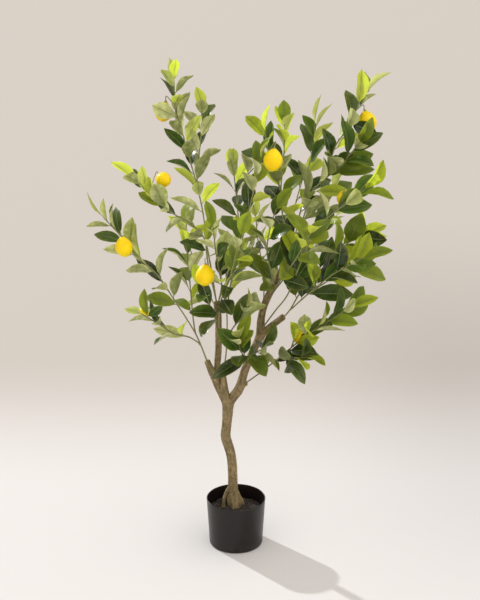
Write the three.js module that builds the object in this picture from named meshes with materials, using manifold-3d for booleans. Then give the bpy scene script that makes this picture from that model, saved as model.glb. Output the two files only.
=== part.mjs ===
// A small lemon tree in a plain round nursery pot: pot, filling, woody trunk, leafy sprays, lemons.
//
// Millimetres, +Z up. The origin is the centre of the pot's underside, X runs to the viewer's
// right and Y away from the viewer. Every spray is a thin stem that stands in a hole in the
// trunk's limbs; its leaves and fruit stalks are fused to it. Leaves are placed by one rule with
// seeded random draws, and a leaf that would cross another spray is turned about its stem.

import * as THREE from 'three';
import { mergeVertices } from 'three/addons/utils/BufferGeometryUtils.js';
import Module from 'manifold-3d';

const wasm = await Module();
wasm.setup();

// ---------------------------------------------------------------- driving dimensions

const POT_HEIGHT = 127;
const POT_RIM_RADIUS = 75.5;
const POT_BASE_RADIUS = 68.5;
const POT_BASE_ROUND = 5;
const POT_WALL = 2.5;
const POT_FLOOR = 5;
const POT_SIDES = 24;
const POT_ROUND_STEPS = 2;

const SOIL_LEVEL = 92; // about 34 mm below the rim
const SOIL_SWELL = 2; // how far the surface rises and falls
const SOIL_RINGS = 2;

const GAP = 0.35; // clearance between neighbouring pieces

const TRUNK_SIDES = 8;
const LIMB_SIDES = 6;
const STEM_SIDES = 3;
const STALK_SIDES = 3;
const CALYX_SIDES = 5;
const STEM_BASE_RADIUS = 2;
const STEM_TIP_RADIUS = 1.5;
const STALK_RADIUS = 1.5;

const LEAF_LENGTH = 81;
const LEAF_WIDTH = 43;
const LEAF_PETIOLE = 0.1; // share of the length that is bare stalk
const LEAF_ROOT_DEPTH = 0.8; // how far past the stem's middle a leaf's root reaches
const LEAF_HALF_THICKNESS = 0.8; // at the midrib; the section is a lens
const LEAF_STATIONS = [0.34, 0.68]; // shares of the length
const LEAF_SHIFT = 0.9; // below 1 the blade is widest before its middle
const LEAF_FULLNESS = 0.8; // below 1 its ends are rounder than a sine's

const LEMON_RADIUS = 22;
const LEMON_LENGTH = 52;
const LEMON_SIDES = 7;
const LEMON_RINGS = [0.1, 0.3, 0.62, 0.88]; // shares of the length
const LEMON_SHIFT = 1.1; // above 1 the fruit is fullest past its middle
const LEMON_FULLNESS = 0.55;
const CALYX_RADIUS = 4.2;
const CALYX_NECK_RADIUS = 2.1;
const CALYX_HEIGHT = 3;
const STALK_STRAIGHT = 14; // the stalk's last stretch, in line with the fruit

const SOCKET_CLEAR = 6; // how far a stem's hole is cut past its mouth

// ---------------------------------------------------------------- routes of the wood

// Each point is [x, y, z, radius of the wood].
const WOOD = {
  bole: [
    [-8, 28, 45, 12], [-8, 28, 96, 13.5], [-8, 28, 122, 12.5], [-8, 28, 155, 11.5],
    [-9, 27, 192, 11], [-12, 25, 230, 11], [-18, 22, 259, 11.5], [-24, 20, 279, 12],
    [-26, 18, 298, 11.5], [-23, 15, 329, 11], [-21, 12, 358, 12], [-20, 10, 390, 14],
  ],
  root_left: [[-12, 27, 144, 5], [-24, 24, 131, 3.4], [-31, 21, 108, 3.2], [-32, 19, 84, 4]],
  root_right: [[-4, 27, 132, 9], [2, 28, 112, 10], [8, 29, 98, 11], [11, 30, 84, 11]],
  root_front: [[-7, 24, 126, 9], [-4, 20, 108, 11], [-1, 16, 96, 12], [0, 13, 84, 12]],
  root_back: [[-8, 31, 124, 9], [-9, 37, 108, 10], [-10, 42, 96, 10], [-11, 46, 84, 10]],
  left_fork: [
    [-19, 11, 366, 11], [-25, 9, 394, 11.5], [-40, 4, 430, 10.5], [-57, -4, 471, 8.5],
    [-71, -12, 509, 6.5],
  ],
  left_limb: [
    [-42, 3, 436, 7], [-48, 5, 462, 7.5], [-46, 8, 493, 7.2], [-43, 12, 537, 6.8],
    [-43, 14, 605, 7], [-45, 16, 640, 8], [-45, 16, 654, 8.2],
  ],
  middle_stub: [[-20, 10, 376, 10], [-25, 4, 408, 9], [-29, -6, 440, 8], [-32, -12, 476, 6]],
  right_limb: [
    [-20, 10, 364, 11], [-13, 9, 394, 11], [9, 4, 430, 11], [21, 6, 473, 9.2], [35, 8, 509, 8.5],
    [48, 12, 538, 8.5], [60, 14, 568, 9.8], [62, 12, 606, 8.6], [67, 10, 638, 7.6],
    [82, 6, 679, 7.6], [102, 4, 716, 6.8], [119, 8, 760, 6.8], [130, 9, 780, 7.4],
    [134, 10, 791, 7.4],
  ],
  right_stub: [[59, 13, 556, 8], [70, 10, 576, 7.5], [89, 4, 597, 7.2], [117, -6, 624, 6.8]],
  knob: [[10, 6, 432, 7], [20, 4, 440, 6], [26, 2, 445, 5.2]],
};

// ---------------------------------------------------------------- routes of the sprays

// A stem's first point is the bottom of its hole and its second the mouth, or, for a side stem,
// both lie on the stem that it grows from. "bare" is the length without leaves, after the first
// point. "twist" is the direction of the first leaf round the stem, in degrees.
const SPRAYS = {
  spray_far_left: [
    { bare: 190, leaves: 16, twist: 0, route: [[-67, -10, 497], [-72, -12, 511], [-99, -30, 590],
      [-148, -52, 684], [-188, -66, 754], [-241, -70, 805], [-274, -62, 850], [-311, -48, 888]] },
    { bare: 55, leaves: 8, twist: 60, route: [[-87, -22, 555], [-91, -26, 563], [-115, -50, 588],
      [-144, -85, 608], [-182, -120, 647], [-219, -140, 680]] },
    { bare: 55, leaves: 9, twist: 20, route: [[-98, -30, 588], [-100, -28, 596],
      [-106, -10, 636], [-110, 15, 673], [-116, 40, 732], [-122, 60, 794]] },
  ],
  spray_top_left: [
    { bare: 235, leaves: 21, twist: 0, route: [[-48, 20, 640], [-48, 20, 656], [-69, 55, 745],
      [-78, 76, 847], [-92, 84, 920], [-111, 88, 994], [-130, 90, 1067], [-143, 90, 1117],
      [-147, 80, 1194]] },
    { bare: 40, leaves: 10, twist: 40, route: [[-93, 84, 925], [-95, 86, 935], [-92, 100, 979],
      [-87, 118, 1025], [-82, 135, 1078], [-80, 140, 1119]] },
  ],
  spray_left: [
    { bare: 170, leaves: 14, twist: 0, route: [[-48, 13, 640], [-48, 13, 656], [-62, -30, 773],
      [-75, -56, 841], [-107, -78, 884], [-148, -96, 914], [-197, -110, 960],
      [-224, -115, 996]] },
  ],
  spray_front_left: [
    { bare: 90, leaves: 9, twist: 30, route: [[-42, 13, 640], [-42, 13, 656], [-34, -30, 714],
      [-40, -66, 764], [-47, -92, 822], [-52, -104, 880]] },
  ],
  spray_back_top: [
    { bare: 130, leaves: 13, twist: 0, route: [[-42, 20, 640], [-42, 20, 656], [-19, 62, 706],
      [5, 95, 758], [9, 112, 800], [4, 128, 862], [-2, 138, 921], [-5, 142, 961]] },
    { bare: 20, leaves: 4, twist: 90, route: [[1, 133, 893], [3, 132, 902], [18, 120, 936],
      [42, 105, 968]] },
  ],
  spray_middle: [
    { bare: 190, leaves: 4, twist: 0, route: [[-31, -11, 463], [-32, -13, 478], [-26, -16, 514],
      [-22, -24, 567], [-22, -38, 650], [-32, -62, 713], [-35, -84, 765]] },
    { bare: 60, leaves: 15, twist: 50, route: [[-22, -37, 645], [-21, -40, 655], [-12, -55, 725],
      [7, -76, 804], [22, -95, 879], [37, -108, 949], [48, -112, 995], [56, -110, 1040]] },
    { bare: 50, leaves: 4, twist: 0, route: [[-22, -25, 572], [-20, -28, 580], [-5, -45, 612],
      [12, -62, 639], [25, -80, 678]] },
    { bare: 60, leaves: 5, twist: 70, route: [[-23, -42, 664], [-23, -38, 672], [-24, 0, 716],
      [-8, 36, 745], [35, 62, 769], [65, 92, 790]] },
  ],
  spray_low_right: [
    { bare: 100, leaves: 18, twist: 20, route: [[19, 8, 438], [28, 2, 447], [61, -18, 481],
      [98, -45, 524], [149, -78, 584], [193, -100, 629], [234, -115, 662], [269, -124, 692]] },
    { bare: 20, leaves: 5, twist: 60, route: [[108, -51, 536], [112, -55, 538], [140, -88, 548],
      [168, -118, 562]] },
  ],
  spray_low_front: [
    { bare: 40, leaves: 8, twist: 0, route: [[35, 10, 507], [33, -2, 511], [25, -25, 525],
      [18, -50, 541], [10, -72, 566], [8, -92, 600]] },
    { bare: 30, leaves: 7, twist: 60, route: [[26, -20, 521], [24, -26, 526], [42, -52, 545],
      [68, -72, 566]] },
  ],
  spray_right: [
    { bare: 70, leaves: 15, twist: 0, route: [[109, -3, 616], [119, -7, 626], [134, -2, 643],
      [163, 22, 685], [203, 50, 727], [246, 70, 766], [304, 80, 804]] },
    { bare: 50, leaves: 10, twist: 40, route: [[133, -3, 641], [137, -5, 645], [180, -40, 700],
      [223, -72, 749], [265, -92, 783], [296, -104, 806]] },
    { bare: 30, leaves: 7, twist: 0, route: [[181, -41, 701], [186, -42, 704], [225, -40, 730],
      [270, -35, 752], [308, -26, 768]] },
  ],
  spray_front_right: [
    { bare: 150, leaves: 14, twist: 0, route: [[65, 7, 585], [70, 3, 597], [96, -22, 645],
      [126, -48, 698], [152, -88, 786], [178, -112, 858], [212, -132, 912], [254, -146, 951],
      [291, -154, 984]] },
  ],
  spray_top_centre: [
    { bare: 60, leaves: 15, twist: 0, route: [[126, 12, 780], [132, 13, 794], [117, 30, 847],
      [109, 46, 923], [114, 58, 989], [117, 66, 1049], [117, 70, 1087]] },
    { bare: 25, leaves: 7, twist: 80, route: [[109, 47, 928], [106, 45, 936], [92, 38, 982],
      [77, 28, 1033], [69, 20, 1079]] },
  ],
  spray_top_back: [
    { bare: 60, leaves: 13, twist: 20, route: [[131, 12, 778], [137, 13, 791], [152, 60, 846],
      [167, 88, 907], [178, 112, 968], [191, 126, 1030], [191, 130, 1069]] },
  ],
  spray_top_right: [
    { bare: 75, leaves: 18, twist: 0, route: [[131, 6, 778], [137, 7, 791], [159, -8, 866],
      [181, -14, 942], [213, -20, 982], [232, -26, 1053], [261, -28, 1099], [283, -26, 1150],
      [297, -22, 1177]] },
    { bare: 30, leaves: 9, twist: 40, route: [[200, -18, 968], [205, -20, 973], [238, -46, 1006],
      [256, -64, 1034], [279, -80, 1069]] },
  ],
  spray_centre: [
    { bare: 30, leaves: 8, twist: 0, route: [[96, 5, 700], [94, -4, 706], [82, -45, 762],
      [74, -80, 818], [80, -104, 880], [93, -118, 927]] },
  ],
  spray_centre_back: [
    { bare: 35, leaves: 7, twist: 30, route: [[110, 4, 736], [111, 15, 742], [128, 62, 787],
      [139, 104, 838], [152, 136, 886], [167, 158, 931]] },
  ],
  spray_centre_right: [
    { bare: 30, leaves: 8, twist: 0, route: [[120, 8, 757], [131, 12, 762], [163, 26, 798],
      [196, 48, 834], [220, 62, 881], [236, 70, 924]] },
  ],
  spray_back_left: [
    { bare: 50, leaves: 7, twist: 0, route: [[-43, 15, 629], [-49, 24, 636], [-70, 78, 660],
      [-96, 130, 700], [-117, 172, 745], [-127, 198, 800]] },
  ],
  spray_back: [
    { bare: 50, leaves: 8, twist: 60, route: [[63, 11, 609], [64, 21, 614], [70, 76, 660],
      [66, 136, 711], [56, 184, 762], [51, 214, 812]] },
  ],
  spray_back_right: [
    { bare: 40, leaves: 8, twist: 0, route: [[75, 7, 660], [80, 15, 664], [130, 74, 708],
      [181, 128, 743], [223, 168, 778], [254, 196, 822]] },
  ],
  spray_front: [
    { bare: 80, leaves: 7, twist: 0, route: [[-44, 14, 579], [-42, 5, 584], [-38, -52, 672],
      [-15, -116, 758], [-1, -166, 826], [10, -200, 889]] },
  ],
  spray_front_low: [
    { bare: 60, leaves: 8, twist: 30, route: [[80, 7, 678], [84, -2, 684], [104, -56, 731],
      [127, -116, 786], [148, -166, 841], [168, -204, 895]] },
  ],
  spray_side_left: [
    { bare: 20, leaves: 4, twist: 0, route: [[-43, 15, 604], [-48, 8, 611], [-59, -22, 648],
      [-67, -45, 681], [-78, -66, 724]] },
  ],
};

// Each lemon hangs from one stem of one spray: "along" is the distance from the stem's first
// point to its stalk, "centre" is the fruit's middle, "points" the way its far tip points, and
// "size" its share of a full lemon.
const LEMONS = [
  { spray: 'spray_top_left', stem: 0, along: 505, centre: [-174, 112, 1108],
    points: [-0.2, 0.1, -0.97], size: 0.97 },
  { spray: 'spray_left', stem: 0, along: 400, centre: [-168, -70, 987],
    points: [0.5, -0.8, -0.25], size: 0.8 },
  { spray: 'spray_far_left', stem: 0, along: 415, centre: [-262, -92, 830],
    points: [0.2, -0.1, -0.97], size: 0.95 },
  { spray: 'spray_front_left', stem: 0, along: 205, centre: [-72, -104, 764],
    points: [-0.05, -0.05, -1], size: 1.02 },
  { spray: 'spray_middle', stem: 1, along: 405, centre: [85, -138, 1050],
    points: [-0.1, -0.15, -0.98], size: 1 },
  { spray: 'spray_top_right', stem: 0, along: 400, centre: [307, -10, 1110],
    points: [0.25, -0.1, -0.95], size: 1 },
  { spray: 'spray_front_right', stem: 0, along: 445, centre: [255, -62, 940],
    points: [0.1, 0.7, -0.7], size: 0.85 },
  { spray: 'spray_right', stem: 0, along: 250, centre: [317, 118, 795],
    points: [0.1, 0.5, -0.85], size: 0.85 },
  { spray: 'spray_low_right', stem: 0, along: 190, centre: [159, -40, 585],
    points: [0.2, 0.3, -0.93], size: 0.9 },
  { spray: 'spray_far_left', stem: 1, along: 140, centre: [-220, -72, 660],
    points: [-0.3, 0.6, -0.75], size: 0.6 },
];

// Leaves set by hand in front of lemons, before the others are drawn: "along" is where the leaf
// grows on its stem and "tip" the way it reaches; a "facing" of -1 shows its underside.
const COVERS = [
  { spray: 'spray_top_left', stem: 0, along: 478, tip: [-201, 60, 1137], facing: -1 },
  { spray: 'spray_left', stem: 0, along: 345, tip: [-189, -130, 999], facing: -1 },
  { spray: 'spray_top_right', stem: 0, along: 365, tip: [323, -62, 1095], facing: 1 },
  { spray: 'spray_front_right', stem: 0, along: 415, tip: [284, -130, 982], facing: 1 },
  { spray: 'spray_right', stem: 0, along: 285, tip: [362, 20, 812], facing: 1 },
  { spray: 'spray_right', stem: 0, along: 258, tip: [304, 20, 873], facing: 1 },
  { spray: 'spray_low_right', stem: 0, along: 240, tip: [162, -100, 668], facing: -1 },
  { spray: 'spray_low_right', stem: 0, along: 210, tip: [196, -112, 609], facing: 1 },
  { spray: 'spray_far_left', stem: 1, along: 205, tip: [-171, -125, 693], facing: 1 },
];

// How much more a spray's leaves turn their upper faces to the viewer; below zero, undersides.
const SHOWN = {
  spray_top_left: -0.6, spray_far_left: -0.4, spray_left: -0.3, spray_back_top: -0.3,
  spray_right: 1.1, spray_front_right: 0.8, spray_low_right: 0.6, spray_low_front: 0.7,
  spray_top_back: 0.5, spray_centre_right: 0.9, spray_centre: 0.5, spray_front_low: 0.6,
};

// Sprays whose leaves are longer and wider than the common leaf, or slimmer.
const LEAF_SCALE = {
  spray_top_left: [1, 0.86], spray_far_left: [1.06, 0.88], spray_left: [1.06, 0.9],
  spray_right: [1.24, 1.2], spray_front_right: [1.18, 1.18], spray_top_right: [1.15, 1.15],
  spray_low_right: [1.1, 1.05], spray_low_front: [1.2, 1.15], spray_centre_right: [1.2, 1.2],
  spray_top_back: [1.15, 1.1],
};

// ---------------------------------------------------------------- small mathematics

const vector = (p) => new THREE.Vector3(p[0], p[1], p[2]);
const radians = THREE.MathUtils.degToRad;

// A linear congruential generator: the same seed always gives the same tree.
function draws(seed) {
  let state = seed;
  return ([low, high]) => {
    state = (1664525 * state + 1013904223) % 4294967296;
    return low + ((high - low) * state) / 4294967296;
  };
}

// A uniform Catmull-Rom curve through points of any number of coordinates.
function smooth(points, steps) {
  const out = [points[0]];
  for (let i = 0; i + 1 < points.length; i++) {
    const b = points[i];
    const c = points[i + 1];
    const a = i > 0 ? points[i - 1] : b.map((v, k) => 2 * v - c[k]);
    const d = i + 2 < points.length ? points[i + 2] : c.map((v, k) => 2 * v - b[k]);
    for (let j = 1; j <= steps; j++) {
      const t = j / steps;
      out.push(b.map((v, k) => 0.5 * (2 * v + (c[k] - a[k]) * t
        + (2 * a[k] - 5 * v + 4 * c[k] - d[k]) * t * t
        + (3 * v - a[k] - 3 * c[k] + d[k]) * t * t * t)));
    }
  }
  return out;
}

// Point and direction at a distance along a polyline.
function locate(line, distance) {
  let left = distance;
  for (let i = 0; i + 1 < line.length; i++) {
    const a = vector(line[i]);
    const step = vector(line[i + 1]).sub(a);
    const length = step.length();
    if (left <= length || i + 2 === line.length) {
      return { point: a.addScaledVector(step, left / length), along: step.divideScalar(length) };
    }
    left -= length;
  }
}

function lengthOf(line) {
  return line.slice(1).reduce((sum, p, i) => sum + vector(p).distanceTo(vector(line[i])), 0);
}

// ---------------------------------------------------------------- solids

// Merges the shared vertices of a closed mesh, drops collapsed triangles, turns the faces
// outwards and makes a solid.
function solid(geometry) {
  geometry.deleteAttribute('normal');
  geometry.deleteAttribute('uv');
  const merged = mergeVertices(geometry, 1e-3);
  const index = [];
  let volume = 0;
  const [a, b, c] = [0, 0, 0].map(() => new THREE.Vector3());
  for (let i = 0; i < merged.index.count; i += 3) {
    const [p, q, r] = [0, 1, 2].map((k) => merged.index.getX(i + k));
    if (p === q || q === r || r === p) continue;
    index.push(p, q, r);
    [a, b, c].forEach((v, k) => v.fromBufferAttribute(merged.attributes.position, [p, q, r][k]));
    volume += a.dot(b.cross(c));
  }
  if (volume < 0) index.reverse();
  return new wasm.Manifold(new wasm.Mesh({
    numProp: 3,
    vertProperties: Float32Array.from(merged.attributes.position.array),
    triVerts: Uint32Array.from(index),
  }));
}

function fromRows(rows, index) {
  const geometry = new THREE.BufferGeometry();
  geometry.setAttribute('position', new THREE.Float32BufferAttribute(rows.flat(), 3));
  geometry.setIndex(index);
  return solid(geometry);
}

// A closed solid of revolution about Z; the profile holds [radius, z] and ends on the axis.
function revolve(profile, sides) {
  const points = profile.map(([r, z]) => new THREE.Vector2(r, z));
  return new THREE.LatheGeometry(points, sides).rotateX(Math.PI / 2);
}

// A closed tube through [x, y, z, radius] points, its rings carried along without twisting.
function sweep(path, sides, grow = 0) {
  const centres = path.map(vector);
  const rows = [];
  const index = [];
  let heading = centres[1].clone().sub(centres[0]).normalize();
  const side = new THREE.Vector3(0, 1, 0).cross(heading).normalize();
  centres.forEach((centre, i) => {
    const before = centres[Math.max(i - 1, 0)];
    const after = centres[Math.min(i + 1, centres.length - 1)];
    const next = after.clone().sub(before).normalize();
    side.applyQuaternion(new THREE.Quaternion().setFromUnitVectors(heading, next));
    heading = next;
    const up = heading.clone().cross(side);
    for (let k = 0; k < sides; k++) {
      const angle = (2 * Math.PI * k) / sides;
      const reach = path[i][3] + grow;
      rows.push(centre.clone().addScaledVector(side, reach * Math.cos(angle))
        .addScaledVector(up, reach * Math.sin(angle)).toArray());
    }
  });
  const last = (path.length - 1) * sides;
  for (let k = 0; k < sides; k++) {
    const n = (k + 1) % sides;
    for (let ring = 0; ring < last; ring += sides) {
      index.push(ring + k, ring + n, ring + sides + n, ring + k, ring + sides + n, ring + sides + k);
    }
    if (k > 0 && k < sides - 1) {
      index.push(0, n, k, last, last + k, last + n);
    }
  }
  return fromRows(rows, index);
}

const join = (solids) => solids.reduce((whole, piece) => whole.add(piece));

// ---------------------------------------------------------------- pot and soil

function pot() {
  const innerBase = POT_BASE_RADIUS - POT_WALL;
  const profile = [[0, 0]];
  for (let step = 0; step <= POT_ROUND_STEPS; step++) {
    const angle = (Math.PI / 2) * (step / POT_ROUND_STEPS);
    profile.push([
      POT_BASE_RADIUS - POT_BASE_ROUND * (1 - Math.sin(angle)),
      POT_BASE_ROUND * (1 - Math.cos(angle)),
    ]);
  }
  profile.push([POT_RIM_RADIUS, POT_HEIGHT], [POT_RIM_RADIUS - POT_WALL, POT_HEIGHT]);
  profile.push([innerBase, POT_BASE_ROUND], [innerBase - POT_FLOOR, POT_FLOOR], [0, POT_FLOOR]);
  return solid(revolve(profile, POT_SIDES));
}

function innerRadius(z) {
  const rise = (z - POT_BASE_ROUND) / (POT_HEIGHT - POT_BASE_ROUND);
  return POT_BASE_RADIUS - POT_WALL + rise * (POT_RIM_RADIUS - POT_BASE_RADIUS);
}

// Low waves across the filling: two that cross, and a shorter one along the diagonal.
function soilHeight(x, y) {
  const swell = Math.sin(x / 19 + 0.6) * Math.cos(y / 16 - 0.4) + 0.6 * Math.sin((x + y) / 9);
  return SOIL_LEVEL + SOIL_SWELL * swell;
}

function soil() {
  const bottom = POT_BASE_ROUND;
  const edge = innerRadius(SOIL_LEVEL - 2 * SOIL_SWELL) - GAP;
  const profile = [
    [0, POT_FLOOR + GAP],
    [innerRadius(bottom) - POT_FLOOR - GAP, POT_FLOOR + GAP],
    [innerRadius(bottom) - GAP, bottom + GAP],
  ];
  for (let ring = SOIL_RINGS; ring >= 0; ring--) {
    profile.push([(edge * ring) / SOIL_RINGS, SOIL_LEVEL]);
  }
  const geometry = revolve(profile, POT_SIDES);
  const place = geometry.attributes.position;
  for (let i = 0; i < place.count; i++) {
    if (place.getZ(i) > SOIL_LEVEL - 1) {
      place.setZ(i, soilHeight(place.getX(i), place.getY(i)));
    }
  }
  const buried = ['bole', 'root_left', 'root_right', 'root_front', 'root_back'];
  return solid(geometry).subtract(join(buried.map((name) => wood(name, GAP))));
}

// ---------------------------------------------------------------- trunk

function wood(name, grow = 0) {
  const sides = name === 'bole' ? TRUNK_SIDES : LIMB_SIDES;
  return sweep(WOOD[name], sides, grow);
}

// The hole that a spray's stem stands in, GAP wider and deeper than the stem.
function socket([bottom, mouth]) {
  const along = vector(mouth).sub(vector(bottom)).normalize();
  const from = vector(bottom).addScaledVector(along, -GAP).toArray();
  const to = vector(mouth).addScaledVector(along, SOCKET_CLEAR).toArray();
  const reach = STEM_BASE_RADIUS + GAP;
  return sweep([[...from, reach], [...to, reach]], STEM_SIDES);
}

function trunk() {
  const whole = join(Object.keys(WOOD).map((name) => wood(name)));
  const holes = Object.values(SPRAYS).map((stems) => socket(stems[0].route));
  return whole.subtract(join(holes));
}

// ---------------------------------------------------------------- leaves

// Half the blade's width at a share of its length, as a share of the greatest half width.
function outline(share) {
  const blade = Math.max(share - LEAF_PETIOLE, 0) / (1 - LEAF_PETIOLE);
  return Math.sin(Math.PI * Math.min(blade, 1) ** LEAF_SHIFT) ** LEAF_FULLNESS || 0;
}

// A point of a leaf: the midrib bends away from the upper face by "bend" radians over the
// length, and both halves are folded up by "fold".
function leafPoint(leaf, share, across) {
  const turn = leaf.bend * share;
  const out = Math.sin(turn) / leaf.bend;
  const down = (1 - Math.cos(turn)) / leaf.bend;
  const half = 0.5 * leaf.width * outline(share) * across;
  const upper = upperFace(leaf, share);
  return leaf.root.clone()
    .addScaledVector(leaf.along, leaf.length * out)
    .addScaledVector(leaf.upper, -leaf.length * down)
    .addScaledVector(leaf.side, half * Math.cos(leaf.fold))
    .addScaledVector(upper, Math.abs(half) * Math.sin(leaf.fold));
}

function upperFace(leaf, share) {
  const turn = leaf.bend * share;
  return leaf.upper.clone().multiplyScalar(Math.cos(turn))
    .addScaledVector(leaf.along, Math.sin(turn));
}

// The leaf as a thin lens: a pointed root inside the stem, from which the blade widens at once,
// then edge, top of the midrib, edge and underside at every station, then the tip. Quads above
// and below are split along the same diagonals.
function blade(leaf) {
  const rows = [];
  const index = [];
  LEAF_STATIONS.forEach((share) => {
    const middle = leafPoint(leaf, share, 0);
    const upper = upperFace(leaf, share);
    const top = middle.clone().addScaledVector(upper, LEAF_HALF_THICKNESS);
    const underside = middle.clone().addScaledVector(upper, -LEAF_HALF_THICKNESS);
    rows.push(leafPoint(leaf, share, 1), top, leafPoint(leaf, share, -1), underside);
  });
  const root = rows.push(leaf.root.clone().addScaledVector(leaf.along, -LEAF_ROOT_DEPTH)) - 1;
  const tip = rows.push(leafPoint(leaf, 1, 0)) - 1;
  const last = 4 * (LEAF_STATIONS.length - 1);
  for (let k = 0; k < 4; k++) {
    const n = (k + 1) % 4;
    index.push(root, n, k, last + k, last + n, tip);
    for (let ring = 0; ring < last; ring += 4) {
      const [a, b, c, d] = [ring + k, ring + n, ring + 4 + n, ring + 4 + k];
      if (k % 2 === 0) index.push(a, b, c, a, c, d);
      else index.push(a, b, d, b, c, d);
    }
  }
  return fromRows(rows.map((p) => p.toArray()), index);
}

// ---------------------------------------------------------------- placing the leaves

const LEAF_TURN = 137.5; // degrees from one leaf to the next round the stem
const TURN_SPREAD = [-18, 18];
const CROWDING = 1.2; // above 1 the leaves are closer together towards the tip
const OPENING = [32, 56]; // degrees between the stem and its lowest leaves
const CLOSING = 16; // how much less the upper leaves open
const TIP_OPENING = 12; // the last leaf carries the stem's line on
const SHRINKING = 0.2; // how much smaller the last leaves are than the first
const LENGTH_SPREAD = [0.82, 1.16];
const WIDTH_SPREAD = [0.86, 1.12];
const BEND = [0.1, 0.55]; // radians
const FOLD = [10, 30]; // degrees
const FACING = [-1.1, 1.1]; // how far a blade's upper face turns to the viewer, or away
const LEAST_FACING = 0.4; // added on either side of zero
const VIEWER = new THREE.Vector3(0, -1, 0.2);
const COVER_WIDTH = 0.52; // share of the length of a leaf set by hand
const COVER_BEND = 0.2; // radians
const COVER_FOLD = 12; // degrees
const FIRST_SEED = 1000;
const SEED_STEP = 37;

const TURNS_TO_TRY = [0, 24, -24, 48, -48, 72, -72, 100, -100, 130, -130, 180];
const SIZES_TO_TRY = [1, 0.8];
const CLEARANCE = 3.5; // from a leaf's sample points to another spray's, beyond its own reach
const LEAF_REACH = 2.5;
const STEM_REACH = 3;
const LEMON_REACH = 22.5; // of a full lemon
const LEMON_MARKS = [-6, 0, 6]; // places along its axis
const MARK_STEP = 6; // along stems
const SAMPLE_ROWS = 10; // along the leaf, of which the first is left out
const SAMPLE_COLUMNS = 3; // on each side of the midrib

// Sample points over a blade, close enough together that two crossing blades are always found.
function samplePoints(leaf) {
  const points = [];
  for (let row = 2; row <= SAMPLE_ROWS; row++) {
    for (let column = -SAMPLE_COLUMNS; column <= SAMPLE_COLUMNS; column++) {
      points.push(leafPoint(leaf, row / SAMPLE_ROWS, column / SAMPLE_COLUMNS));
    }
  }
  return points;
}

function alongLine(line, reach, node) {
  const marks = [];
  for (let at = 0; at <= lengthOf(line); at += MARK_STEP) {
    marks.push({ point: locate(line, at).point, reach, node });
  }
  return marks;
}

// A leaf fits where none of its points is too near a mark. Marks of its own spray only keep
// leaves from lying in each other.
function fits(leaf, node, marks) {
  const points = samplePoints(leaf);
  const middle = leafPoint(leaf, 0.5, 0);
  return marks.every((mark) => {
    const own = mark.node === node;
    if (own && mark.reach !== LEAF_REACH) return true;
    const limit = own ? CLEARANCE : CLEARANCE + mark.reach;
    if (middle.distanceTo(mark.point) > leaf.length + limit) return true;
    return points.every((point) => point.distanceTo(mark.point) >= limit);
  });
}

// One leaf's frame, from where it grows, the way it points round the stem and how far it opens.
function frameLeaf(line, at, twist, shape, size) {
  const { point, along } = locate(line, at);
  const side = along.clone().cross(new THREE.Vector3(0, 1, 0)).normalize();
  const front = side.clone().cross(along);
  const outward = side.multiplyScalar(Math.cos(twist)).addScaledVector(front, Math.sin(twist));
  const heading = along.clone().multiplyScalar(Math.cos(shape.open))
    .addScaledVector(outward, Math.sin(shape.open));
  const upper = along.clone().multiplyScalar(Math.sin(shape.open))
    .addScaledVector(outward, -Math.cos(shape.open));
  upper.addScaledVector(VIEWER, shape.facing);
  upper.addScaledVector(heading, -upper.dot(heading)).normalize();
  return {
    root: point, along: heading, upper, side: upper.clone().cross(heading),
    length: shape.length * size, width: shape.width * size, bend: shape.bend, fold: shape.fold,
  };
}

function coverLeaf(spec) {
  const { point } = locate(lineOf(spec), spec.along);
  const heading = vector(spec.tip).sub(point);
  const length = heading.length();
  heading.divideScalar(length);
  const upper = VIEWER.clone().multiplyScalar(spec.facing);
  upper.addScaledVector(heading, -upper.dot(heading)).normalize();
  return {
    root: point, along: heading, upper, side: upper.clone().cross(heading),
    length, width: COVER_WIDTH * length, bend: COVER_BEND, fold: radians(COVER_FOLD),
  };
}

// The leaves of one stem, from its bare part to its tip.
function leavesOf(stem, line, node, marks, draw) {
  const run = lengthOf(line) - stem.bare;
  const [longer, wider] = LEAF_SCALE[node] ?? [1, 1];
  const leaves = [];
  for (let k = 0; k < stem.leaves; k++) {
    const share = k / (stem.leaves - 1);
    const last = k === stem.leaves - 1;
    const young = 1 - SHRINKING * share;
    const open = radians(last ? TIP_OPENING : draw(OPENING) - CLOSING * share);
    const facing = draw(FACING) + (SHOWN[node] ?? 0);
    const shape = {
      open,
      facing: facing + Math.sign(facing) * LEAST_FACING,
      length: LEAF_LENGTH * longer * young * draw(LENGTH_SPREAD),
      width: LEAF_WIDTH * wider * young * draw(WIDTH_SPREAD),
      bend: draw(BEND),
      fold: radians(draw(FOLD)),
    };
    const twist = stem.twist + LEAF_TURN * k + draw(TURN_SPREAD);
    const at = stem.bare + (run - 1) * (1 - (1 - share) ** CROWDING);
    const tries = SIZES_TO_TRY.flatMap((size) => TURNS_TO_TRY.map((turn) => (
      frameLeaf(line, at, radians(twist + turn), shape, size))));
    const leaf = tries.find((option) => fits(option, node, marks));
    if (leaf) {
      leaves.push(leaf);
      samplePoints(leaf).forEach((point) => marks.push({ point, reach: LEAF_REACH, node }));
    }
  }
  return leaves;
}

// ---------------------------------------------------------------- lemons and their stalks

function lemonFrame(lemon) {
  const points = vector(lemon.points).normalize();
  const half = (LEMON_LENGTH * lemon.size) / 2;
  return { points, seat: vector(lemon.centre).addScaledVector(points, -half) };
}

// An egg, narrower at the stalk than at its tip.
function lemonRadius(share) {
  return LEMON_RADIUS * Math.sin(Math.PI * share ** LEMON_SHIFT) ** LEMON_FULLNESS;
}

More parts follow.
